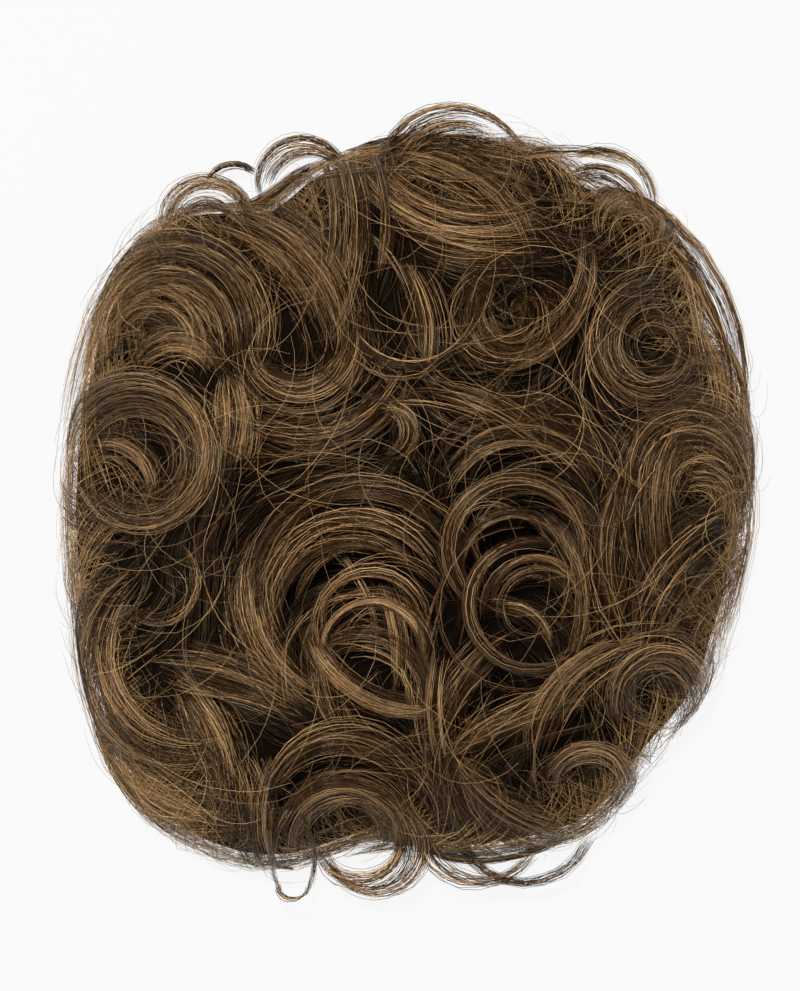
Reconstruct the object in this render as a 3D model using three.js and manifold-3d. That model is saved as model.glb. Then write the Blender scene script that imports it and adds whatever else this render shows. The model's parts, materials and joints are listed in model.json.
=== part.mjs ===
// Curly hair topper: a shallow net base that sits on the crown of a head, five sections of curled
// hair sewn to it, and four plain snap clips inside its edge. It lies on its rim, as for storage.
// Millimetres, +Z up. Seen from above, +X is the wearer's right and +Y the front hairline.
import * as THREE from "three";
import { mergeVertices } from "three/addons/utils/BufferGeometryUtils.js";
import Module from "manifold-3d";

const wasm = await Module();
wasm.setup();

// Hair mass: the smooth envelope that the crests of the curls reach
const HAIR_HALF_WIDTH = 105;
const HAIR_HALF_LENGTH = 118;
const LENGTH_RATIO = HAIR_HALF_LENGTH / HAIR_HALF_WIDTH;
const OUTLINE_POWER = 2.3; // 2 is an ellipse, more is squarer
const CROWN_HEIGHT = 72;
const EDGE_HEIGHT = 13;
const DOME_POWER = 2.2;
const DOME_ROUNDING = 0.6;
const STRAY_SHARE = 0.35; // how much of a reach past the outline a lock keeps

// Net base and the bed of hair over it
const BASE_HALF_WIDTH = 72;
const BASE_HEIGHT = 34;
const BASE_WALL = 2;
const BASE_POWER = 2.4;
const BASE_ROUNDING = 0.7;
const BED_DEPTH = 9; // the bed's top lies this far under the envelope
const BED_HEM_SHARE = 0.965; // of the way to the outline, where the bed turns under
const BED_FOOT_SHARE = 0.94;
const GAP = 0.3; // between neighbouring pieces
const SLIVER = 0.05; // facets thinner than this are merged away

// Facets
const DOME_FACETS = 30;
const DOME_STEPS = 6;
const LOCK_SIDES = 5;
const LOCK_STEP_DEG = 42;
const LOCK_LEAST_STEPS = 3;

// Locks: height to width, how far the root and the tip tuck in, and how much the ends narrow
const LOCK_FULLNESS = 1.5; // swells every half width in the table
const LOCK_FLATNESS = 0.5;
const LOCK_LEAST_HALF_HEIGHT = 2;
const ROOT_TUCK = 9;
const TIP_TUCK = 5;
const END_SHARE = 0.45;
const FLOOR_CLEARANCE = 0.4;

// The skirt: short flicks round the hem that reach down to the surface
const SKIRT_COUNT = 18;
const SKIRT_TOP_SHARE = 0.84; // of the way from the middle to the outline
const SKIRT_FOOT_SHARE = 0.965;
const SKIRT_TOP = 34;
const SKIRT_HALF_WIDTH = 10;
const SKIRT_LEAN = 15; // sideways drift of a flick from root to tip, in degrees

// Clips
const CLIP_HALF_ANGLE = 13; // degrees along the rim
const CLIP_HALF_HEIGHT = 4.5;
const CLIP_MIDDLE_HEIGHT = 9;
const CLIP_THICKNESS = 1.5;
const CLIP_SEAT = 1; // measured in plan, which leaves about the usual gap on the faceted wall
const CLIP_STEPS = 8;

const COLOURS = { hair: 0x5b432b, base: 0x33261b, clip: 0x3a2c20 };

// Sections of the hair in the order in which they are laid, the topmost first. The crown is an
// oval and the others are quarters round it, from one plan angle to the next.
const CROWN_HALF_WIDTH = 46;
const SECTIONS = [
  { name: "hair_crown" },
  { name: "hair_left", from: 140, to: 222 },
  { name: "hair_right", from: -42, to: 40 },
  { name: "hair_nape", from: 222, to: 318 },
  { name: "hair_front", from: 40, to: 140 },
];

// One row for each lock of hair, an arc in plan that may spiral in or out. x and y are its
// centre, start and sweep its angles in degrees (anticlockwise from +X), r0 and r1 its radius and
// w0 and w1 its half width at root and tip, and lift the height of its crest over the envelope.
const COLUMNS = ["x", "y", "start", "sweep", "r0", "r1", "w0", "w1", "lift"];
const LOCKS = {
  hair_crown: [
    [-20, -30, 195, -215, 31, 30, 6, 4, 0], // outer left arch
    [-14, -44, 175, -190, 21, 21, 2.5, 3, 3], // bow inside it
    [-13, -51, 170, -190, 17, 17, 3, 3.5, 3], // second bow
    [-11, -62, 150, -170, 17, 17, 3.5, 4, 1], // lowest bow
    [2, -29, 200, 75, 35.5, 35.5, 2, 4, 4], // lock that crosses under the bows
    [-13, -29, 160, 88, 37, 36, 6, 3, -2], // flank of the left arch
    [80, -62, 168, 26, 74, 74, 3, 3, 0], // fall along the parting
    [32, -20, 205, -240, 23.5, 23, 4, 3.5, 2], // right arch
    [37, -33, 80, 250, 20, 20, 3.5, 3, 3], // right ring
    [37, -41, 150, -130, 12, 12, 3, 3, -4], // turn inside the ring
    [31, -5, 165, -140, 23, 23, 4.5, 4, 0], // upper right arch
    [5, -25, 90, -48, 56, 52, 4, 4, 0], // band over it
    [32, 4, 100, -95, 22.5, 22.5, 3, 3, -3], // wave behind the band
    [-40, 50, 27, -45, 42, 46, 2.5, 4, 2], // bright fall
    [-34, 45, 50, -230, 16.5, 15, 4, 4, -1], // left cup
    [-31, 45, -15, -110, 28.5, 28.5, 4, 4, 0], // arc under the cup
    [-1, 58, 195, 170, 20, 20, 3, 3, -2], // middle cup
    [29, 53, 55, -320, 11.5, 11, 4, 3, -2], // small ring
    [17, 60, 20, -95, 38, 27, 2, 3, 1], // lock that feeds the small ring
    [-8, 19, 130, -200, 7, 7, 3, 2.5, -1], // tight curl
    [35, -160, 78, 30, 103, 84, 4, 3, -2], // sweep into the parting
    [50, -80, 126, 46, 41, 42, 4, 3, -1], // fall right of the parting
  ],
  hair_left: [
    [-82, 11, 170, -320, 20, 13, 6.5, 5, 2], // large ring
    [-74, 48, -25, 200, 24, 20, 8, 7, 0], // crest above the ring
    [-79, 46, -10, 170, 13, 13, 5, 5, -3], // fan inside the crest
    [-67, -50, 130, 150, 31, 29, 6, 6, -2], // fall round the edge
    [-77, -23, 40, -150, 13, 12, 4, 3, -5], // hook under the ring
    [-83, -140, 84, -27, 90, 90, 8, 3, -3], // fan that gathers inwards
    [-140, -92, 27, -27, 79, 84, 7, 9, -5], // fall across the fan
    [-55, -59, 195, 80, 41, 40, 6, 7, -6], // band along the hem
    [-90, 22, 20, -40, 38, 38, 5, 5, -7], // short fall beside the ring
  ],
  hair_right: [
    [73, 45, 70, 290, 17, 12, 6, 4, 1], // large ring
    [62, 31, 68, -80, 40, 40, 2, 2, -2], // thin outer bow
    [85, 5, 235, -250, 16, 14, 8, 6, 0], // round arch
    [116, -4, 136, 66, 45, 45, 7, 5, -1], // flank of the arch
    [110, -22, 136, 66, 57, 57, 4, 5, -2], // inner fall
    [108, -46, 101, 78, 40, 39, 5, 4, -1], // flow to the hem
    [125, -60, 119, 42, 49, 48, 6, 5, -4], // outer flow to the hem
    [75, -60, 215, -260, 15, 13, 5.5, 4, 0], // low curl
    [71, -80, 92, 82, 35, 34, 3, 5, 1], // sweep over the low curl
    [55, -89, 165, -230, 11.5, 10, 3.5, 3, -1], // tip curl
  ],
  hair_nape: [
    [44, -56, 211, 66, 38, 47, 4, 8, -1], // right fan
    [23, -89, 215, 105, 26, 27, 2, 2, -2], // thin edge bow
    [75, -72, 182, 30, 65, 61, 3, 6, -3], // middle fall
    [-19, -104, 185, -260, 17, 14, 4.5, 3, 1], // left curl
    [-20, -96, 165, -135, 23.5, 23.5, 2.5, 4, -1], // arch over the curl
    [-5, -98, 154, 54, 40, 39, 2, 2, 2], // hanging strand
    [-140, -100, 13, -18, 87, 87, 7, 9, -7], // left fringe
  ],
  hair_front: [
    [-75, 83, 21, -43, 59, 61, 3, 7, 1], // fall from the hairline
    [9, 80, 140, -90, 36, 36, 2.5, 3, 0], // bow along the hairline
    [-1, -15, 99, -33, 120, 118, 4, 7, -2], // sweep to the right
    [20, 121, 208, 112, 39, 39, 4, 6, 0], // swoop
    [28, 147, 248, 38, 73, 73, 5, 5, -3], // lower swoop
    [67, 82, 200, -260, 10, 9, 4.5, 4, -1], // right loop
    [-34, 87, 190, -120, 13, 13, 3, 4, -4], // left curl
    [-62, 45, 76, -72, 41, 42, 6, 5, -1], // flow from the left
  ],
};

const radians = THREE.MathUtils.degToRad;

// A plan position's distance from the middle, as a share of the way to the outline
function outlineShare(x, y) {
  const across = Math.abs(x / HAIR_HALF_WIDTH) ** OUTLINE_POWER;
  const along = Math.abs(y / HAIR_HALF_LENGTH) ** OUTLINE_POWER;
  return (across + along) ** (1 / OUTLINE_POWER);
}

// Height of the envelope over a plan position
function envelopeHeight(x, y) {
  const share = Math.min(outlineShare(x, y), 1);
  return EDGE_HEIGHT + (CROWN_HEIGHT - EDGE_HEIGHT) * (1 - share ** DOME_POWER) ** DOME_ROUNDING;
}

// How much further out a plan position lies once a circle is drawn out to the outline
function outlineStretch(x, y) {
  const radius = Math.hypot(x, y);
  return radius > 0 ? radius / (HAIR_HALF_WIDTH * outlineShare(x, y)) : 1;
}

// A plan position brought in towards the outline where it strays past it
function keptInside(x, y) {
  const share = outlineShare(x, y);
  const scale = share > 1 ? (1 + (share - 1) * STRAY_SHARE) / share : 1;
  return [x * scale, y * scale];
}

// Geometry as a solid that can be joined and cut
function solidOf(geometry) {
  const bare = new THREE.BufferGeometry().setAttribute("position", geometry.getAttribute("position"));
  if (geometry.index) bare.setIndex(geometry.index);
  const merged = mergeVertices(bare, 1e-4);
  return new wasm.Manifold(
    new wasm.Mesh({
      numProp: 3,
      vertProperties: new Float32Array(merged.getAttribute("position").array),
      triVerts: new Uint32Array(merged.index.array),
    }),
  );
}

// The largest body of a solid as geometry, without the crumbs and slivers that a cut leaves
function geometryOf(solid) {
  const bodies = solid.simplify(SLIVER).decompose().sort((a, b) => b.volume() - a.volume());
  const mesh = bodies[0].getMesh();
  return new THREE.BufferGeometry()
    .setAttribute("position", new THREE.BufferAttribute(mesh.vertProperties, 3))
    .setIndex(new THREE.BufferAttribute(mesh.triVerts, 1));
}

function joined(solids) {
  return solids.reduce((whole, next) => whole.add(next));
}

// A closed body through rings of points, each ring a list of corners
function loft(rings) {
  const sides = rings[0].length;
  const last = (rings.length - 1) * sides;
  const faces = [];
  for (let ring = 0; ring + 1 < rings.length; ring++)
    for (let side = 0; side < sides; side++) {
      const a = ring * sides + side;
      const b = ring * sides + ((side + 1) % sides);
      faces.push(a, b, a + sides, b, b + sides, a + sides);
    }
  for (let side = 1; side + 1 < sides; side++) {
    faces.push(0, side + 1, side);
    faces.push(last, last + side, last + side + 1);
  }
  const positions = rings.flat().flatMap((corner) => corner.toArray());
  return new THREE.BufferGeometry()
    .setAttribute("position", new THREE.Float32BufferAttribute(positions, 3))
    .setIndex(faces);
}

// How far along its tuck a lock is: 1 at an end and 0 once it has come up
function tuckShare(t, reach) {
  const left = Math.max(0, 1 - t / reach);
  return left * left;
}

// Middle line of a lock, with the half width there
function lockLine(row) {
  const steps = Math.max(LOCK_LEAST_STEPS, Math.ceil(Math.abs(row.sweep) / LOCK_STEP_DEG));
  return Array.from({ length: steps + 1 }, (_, step) => {
    const t = step / steps;
    const angle = radians(row.start + row.sweep * t);
    const radius = THREE.MathUtils.lerp(row.r0, row.r1, t);
    const [x, y] = keptInside(row.x + radius * Math.cos(angle), row.y + radius * Math.sin(angle));
    const narrowing = END_SHARE + (1 - END_SHARE) * Math.sin(Math.PI * t) ** 0.5;
    const halfWidth = LOCK_FULLNESS * THREE.MathUtils.lerp(row.w0, row.w1, t) * narrowing;
    const halfHeight = Math.max(LOCK_LEAST_HALF_HEIGHT, halfWidth * LOCK_FLATNESS);
    const tuck = ROOT_TUCK * tuckShare(t, 0.35) + TIP_TUCK * tuckShare(1 - t, 0.3);
    const z = envelopeHeight(x, y) + row.lift - halfHeight - tuck;
    return { point: new THREE.Vector3(x, y, z), halfWidth, halfHeight };
  });
}

// Middle line of one flick of the skirt, from its place in the ring
function skirtLine(index) {
  const angle = (2 * Math.PI * (index + 0.5)) / SKIRT_COUNT;
  const steps = LOCK_LEAST_STEPS;
  return Array.from({ length: steps + 1 }, (_, step) => {
    const t = step / steps;
    const share = THREE.MathUtils.lerp(SKIRT_TOP_SHARE, SKIRT_FOOT_SHARE, Math.sin((Math.PI / 2) * t));
    const turned = angle + radians(SKIRT_LEAN) * t * t;
    const reach = 1 / outlineShare(Math.cos(turned), Math.sin(turned));
    const halfWidth = SKIRT_HALF_WIDTH * (1 - 0.5 * t);
    const halfHeight = halfWidth * LOCK_FLATNESS;
    const z = THREE.MathUtils.lerp(SKIRT_TOP, halfHeight, t ** 1.3);
    const point = new THREE.Vector3(Math.cos(turned), Math.sin(turned), 0).multiplyScalar(reach * share);
    return { point: point.setZ(z), halfWidth, halfHeight };
  });
}

// A lock's solid round its middle line, flat against the envelope, grown all round by a margin
function lockSolid(line, margin) {
  const up = new THREE.Vector3(0, 0, 1);
  const rings = line.map(({ point, halfWidth, halfHeight }, i) => {
    const before = line[Math.max(i - 1, 0)].point;
    const after = line[Math.min(i + 1, line.length - 1)].point;
    const ahead = new THREE.Vector3().subVectors(after, before).normalize();
    const across = new THREE.Vector3().crossVectors(up, ahead).normalize();
    const slope = (envelopeHeight(point.x + across.x, point.y + across.y)
      - envelopeHeight(point.x - across.x, point.y - across.y)) / 2;
    across.setZ(THREE.MathUtils.clamp(slope, -1, 1)).normalize();
    const lift = new THREE.Vector3().crossVectors(ahead, across).normalize();
    const end = i === 0 ? -margin : i === line.length - 1 ? margin : 0;
    return Array.from({ length: LOCK_SIDES }, (_, side) => {
      const turn = (2 * Math.PI * (side + 0.5)) / LOCK_SIDES;
      const corner = point.clone().addScaledVector(ahead, end);
      corner.addScaledVector(across, (halfWidth + margin) * Math.cos(turn));
      corner.addScaledVector(lift, (halfHeight + margin) * Math.sin(turn));
      return corner.setZ(Math.max(corner.z, FLOOR_CLEARANCE - margin));
    });
  });
  return joined(rings.slice(1).map((ring, i) => solidOf(loft([rings[i], ring]))));
}

// A dome's half profile from its top to its rim, as lathe points
function domeProfile(halfWidth, height) {
  return Array.from({ length: DOME_STEPS + 1 }, (_, step) => {
    const share = Math.sin((Math.PI / 2) * (step / DOME_STEPS));
    return new THREE.Vector2(halfWidth * share, height * (1 - share ** BASE_POWER) ** BASE_ROUNDING);
  });
}

// A body of revolution about Z whose plan is drawn out from a circle to the hair's outline
function outlinedLathe(profile) {
  const geometry = new THREE.LatheGeometry(profile.slice().reverse(), DOME_FACETS).rotateX(Math.PI / 2);
  const position = geometry.getAttribute("position");
  for (let i = 0; i < position.count; i++) {
    const stretch = outlineStretch(position.getX(i), position.getY(i));
    position.setXY(i, position.getX(i) * stretch, position.getY(i) * stretch);
  }
  return geometry;
}

function baseGeometry() {
  const outer = domeProfile(BASE_HALF_WIDTH, BASE_HEIGHT);
  const inner = domeProfile(BASE_HALF_WIDTH - BASE_WALL, BASE_HEIGHT - BASE_WALL);
  return outlinedLathe([...outer, ...inner.reverse()]);
}

// The bed of hair over the base, hollow where the base sits
function bedSolid(margin) {
  const outer = Array.from({ length: DOME_STEPS + 1 }, (_, step) => {
    const share = BED_HEM_SHARE * Math.sin((Math.PI / 2) * (step / DOME_STEPS));
    const height = envelopeHeight(share * HAIR_HALF_WIDTH, 0) - BED_DEPTH + margin;
    return new THREE.Vector2(share * HAIR_HALF_WIDTH + margin * (step / DOME_STEPS), height);
  });
  const foot = new THREE.Vector2(BED_FOOT_SHARE * HAIR_HALF_WIDTH + margin, 0);
  const room = 2 * GAP - margin;
  const inner = domeProfile(BASE_HALF_WIDTH + room, BASE_HEIGHT + room);
  return solidOf(outlinedLathe([...outer, foot, ...inner.reverse()]));
}

// A tall prism over the plan region of one section, grown by a margin
function sectionPrism(section, margin) {
  const shape = new THREE.Shape();
  if (section.from === undefined) {
    shape.absellipse(0, 0, CROWN_HALF_WIDTH + margin, (CROWN_HALF_WIDTH + margin) * LENGTH_RATIO);
  } else {
    const middle = radians((section.from + section.to) / 2);
    const half = radians((section.to - section.from) / 2);
    const back = (GAP / 2 - margin) / Math.sin(half);
    const far = 3 * HAIR_HALF_LENGTH;
    shape.moveTo(back * Math.cos(middle), back * Math.sin(middle));
    for (const turn of [-half, 0, half])
      shape.lineTo(far * Math.cos(middle + turn), far * Math.sin(middle + turn));
  }
  const height = 2 * CROWN_HEIGHT;
  const geometry = new THREE.ExtrudeGeometry(shape, {
    depth: 2 * height, bevelEnabled: false, curveSegments: DOME_FACETS / 2,
  });
  return solidOf(geometry.translate(0, 0, -height));
}

// The lines of a section's locks, with its share of the skirt
function sectionLines(section) {
  const rows = LOCKS[section.name].map((row) =>
    Object.fromEntries(COLUMNS.map((column, i) => [column, row[i]])));
  const lines = rows.map(lockLine);
  for (let index = 0; index < SKIRT_COUNT && section.from !== undefined; index++) {
    const angle = (360 * (index + 0.5)) / SKIRT_COUNT;
    const turned = [angle, angle - 360].some((a) => a >= section.from && a < section.to);
    if (turned) lines.push(skirtLine(index));
  }
  return lines;
}

// A section's bed and locks as one solid, grown by a margin
function sectionSolid(section, crown, margin) {
  let bed = bedSolid(margin).intersect(sectionPrism(section, margin));
  if (section !== crown) bed = bed.subtract(sectionPrism(crown, GAP - margin));
  return joined([bed, ...sectionLines(section).map((line) => lockSolid(line, margin))]);
}

// All sections, each cut back from the ones laid before it and from the room for the base
function hairGeometries() {
  const [crown] = SECTIONS;
  const room = 2 * GAP;
  const rim = new THREE.Vector2(BASE_HALF_WIDTH + room, -GAP);
  const baseRoom = [...domeProfile(BASE_HALF_WIDTH + room, BASE_HEIGHT + room), rim, rim.clone().setX(0)];
  let taken = solidOf(outlinedLathe(baseRoom));
  return SECTIONS.map((section) => {
    const geometry = geometryOf(sectionSolid(section, crown, 0).subtract(taken));
    taken = taken.add(sectionSolid(section, crown, GAP));
    return [section.name, geometry];
  });
}

// A snap clip: a curved plate with round ends that lies along the inside of the rim
function clipGeometry(middle) {
  const height = BASE_HEIGHT - BASE_WALL;
  const halfWidth = BASE_HALF_WIDTH - BASE_WALL;
  const wallAt = (z) => halfWidth * (1 - (z / height) ** (1 / BASE_ROUNDING)) ** (1 / BASE_POWER);
  const corner = (angle, z, inset) => {
    const [x, y] = [Math.cos(angle), Math.sin(angle)];
    const reach = (wallAt(z) - inset) * outlineStretch(x, y);
    return new THREE.Vector3(x * reach, y * reach, z);
  };
  const rings = Array.from({ length: CLIP_STEPS + 1 }, (_, step) => {
    const along = (2 * step) / CLIP_STEPS - 1;
    const angle = radians(middle + CLIP_HALF_ANGLE * along);
    const half = CLIP_HALF_HEIGHT * Math.sqrt(1 - 0.8 * along * along);
    const [low, high] = [CLIP_MIDDLE_HEIGHT - half, CLIP_MIDDLE_HEIGHT + half];
    const inner = CLIP_SEAT + CLIP_THICKNESS;
    return [
      corner(angle, low, CLIP_SEAT), corner(angle, low, inner),
      corner(angle, high, inner), corner(angle, high, CLIP_SEAT),
    ];
  });
  return loft(rings);
}

function named(name, geometry, material) {
  const mesh = new THREE.Mesh(geometry, material);
  mesh.name = name;
  return mesh;
}

const hairFinish = new THREE.MeshStandardMaterial({ color: COLOURS.hair, roughness: 0.45 });
const baseFinish = new THREE.MeshStandardMaterial({ color: COLOURS.base, roughness: 0.9 });
const clipFinish = new THREE.MeshStandardMaterial({ color: COLOURS.clip, roughness: 0.35, metalness: 0.6 });

const topper = new THREE.Group();
topper.add(named("base_cap", baseGeometry(), baseFinish));
for (const [name, geometry] of hairGeometries()) topper.add(named(name, geometry, hairFinish));
const CLIPS = { clip_right: 0, clip_front: 90, clip_left: 180, clip_nape: 270 };
for (const [name, angle] of Object.entries(CLIPS)) topper.add(named(name, clipGeometry(angle), clipFinish));

// The origin is the middle of the footprint, on the surface that the topper lies on
const footprint = new THREE.Box3().setFromObject(topper).getCenter(new THREE.Vector3());
topper.children.forEach((mesh) => mesh.position.set(-footprint.x, -footprint.y, 0));

export default topper;
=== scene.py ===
"""Curly hair topper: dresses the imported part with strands, a bed of hair, a net base and lacquered clips.

The row frame is in metres with +Z up. Plan sizes in the tables are millimetres from the middle of the base,
+X to the right and +Y to the front hairline, as in the part's source. The camera looks straight down.
"""

from __future__ import annotations

import json
import logging
import math
from dataclasses import dataclass, field, replace
from enum import Enum
from functools import partial

import bpy
import numpy as np
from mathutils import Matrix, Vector

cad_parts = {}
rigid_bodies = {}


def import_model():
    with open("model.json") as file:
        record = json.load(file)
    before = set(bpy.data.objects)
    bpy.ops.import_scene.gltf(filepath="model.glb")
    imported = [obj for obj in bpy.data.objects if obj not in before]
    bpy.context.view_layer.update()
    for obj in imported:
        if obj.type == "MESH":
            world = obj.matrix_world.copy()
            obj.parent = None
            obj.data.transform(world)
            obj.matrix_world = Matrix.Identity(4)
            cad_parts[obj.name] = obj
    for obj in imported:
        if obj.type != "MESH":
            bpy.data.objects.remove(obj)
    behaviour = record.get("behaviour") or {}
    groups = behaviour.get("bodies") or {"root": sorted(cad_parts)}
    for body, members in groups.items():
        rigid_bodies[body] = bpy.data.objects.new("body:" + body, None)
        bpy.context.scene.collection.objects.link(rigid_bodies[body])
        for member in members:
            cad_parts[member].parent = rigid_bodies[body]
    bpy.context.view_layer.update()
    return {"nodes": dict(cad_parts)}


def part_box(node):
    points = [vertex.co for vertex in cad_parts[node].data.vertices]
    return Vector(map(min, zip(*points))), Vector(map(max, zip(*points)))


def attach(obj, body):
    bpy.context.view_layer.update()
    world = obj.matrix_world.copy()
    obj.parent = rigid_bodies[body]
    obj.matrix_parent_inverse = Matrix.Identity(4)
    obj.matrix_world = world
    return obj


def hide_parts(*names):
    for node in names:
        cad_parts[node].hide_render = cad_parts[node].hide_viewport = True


LOG = logging.getLogger("hair_topper")
MM = 0.001
BAKE_MAP = "OFBake"
BODY = "root"

# Photograph: how many millimetres a pixel shows, its frame, and the pixel over the middle of the base
MM_PER_PIXEL = 0.3
FRAME_PIXELS = (800, 991)
MIDDLE_PIXEL = (412, 494)

# Turn between neighbours of a sunflower spiral, which spreads points evenly over a disc
GOLDEN_TURN = math.pi * (3 - math.sqrt(5))

# The net base's dome, which the bed's underside follows
BASE_POWER = 2.4
BASE_ROUNDING = 0.7

# Tones stay inside the strand map
TONE_LIMITS = (0.01, 0.97)
WHITE = (1.0, 1.0, 1.0, 1.0)


class Section(Enum):
    """A section of the hair, named for the CAD node that it stands for."""

    CROWN = "hair_crown"
    LEFT = "hair_left"
    RIGHT = "hair_right"
    NAPE = "hair_nape"
    FRONT = "hair_front"


@dataclass(frozen=True)
class Lock:
    """One lock of hair: an arc in plan that may spiral in or out.

    x and y are its centre, start and sweep its angles in degrees, r0 and r1 its radius and w0 and w1 its
    half width at root and tip, lift the height of its crest over the envelope, and tone its colour from 0,
    dark, to 1, golden.
    """

    x: float
    y: float
    start: float
    sweep: float
    r0: float
    r1: float
    w0: float
    w1: float
    lift: float
    tone: float = 0.5

    @property
    def width(self) -> float:
        """The lock's mean width."""
        return self.w0 + self.w1

    def angle(self, t: np.ndarray) -> np.ndarray:
        """Gives the angles at shares of the way along, in radians."""
        return np.radians(self.start + self.sweep * t)

    def radius(self, t: np.ndarray) -> np.ndarray:
        """Gives the radii at shares of the way along."""
        return self.r0 + (self.r1 - self.r0) * t

    def half_width(self, t: np.ndarray) -> np.ndarray:
        """Gives the half widths at shares of the way along."""
        return self.w0 + (self.w1 - self.w0) * t


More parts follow.
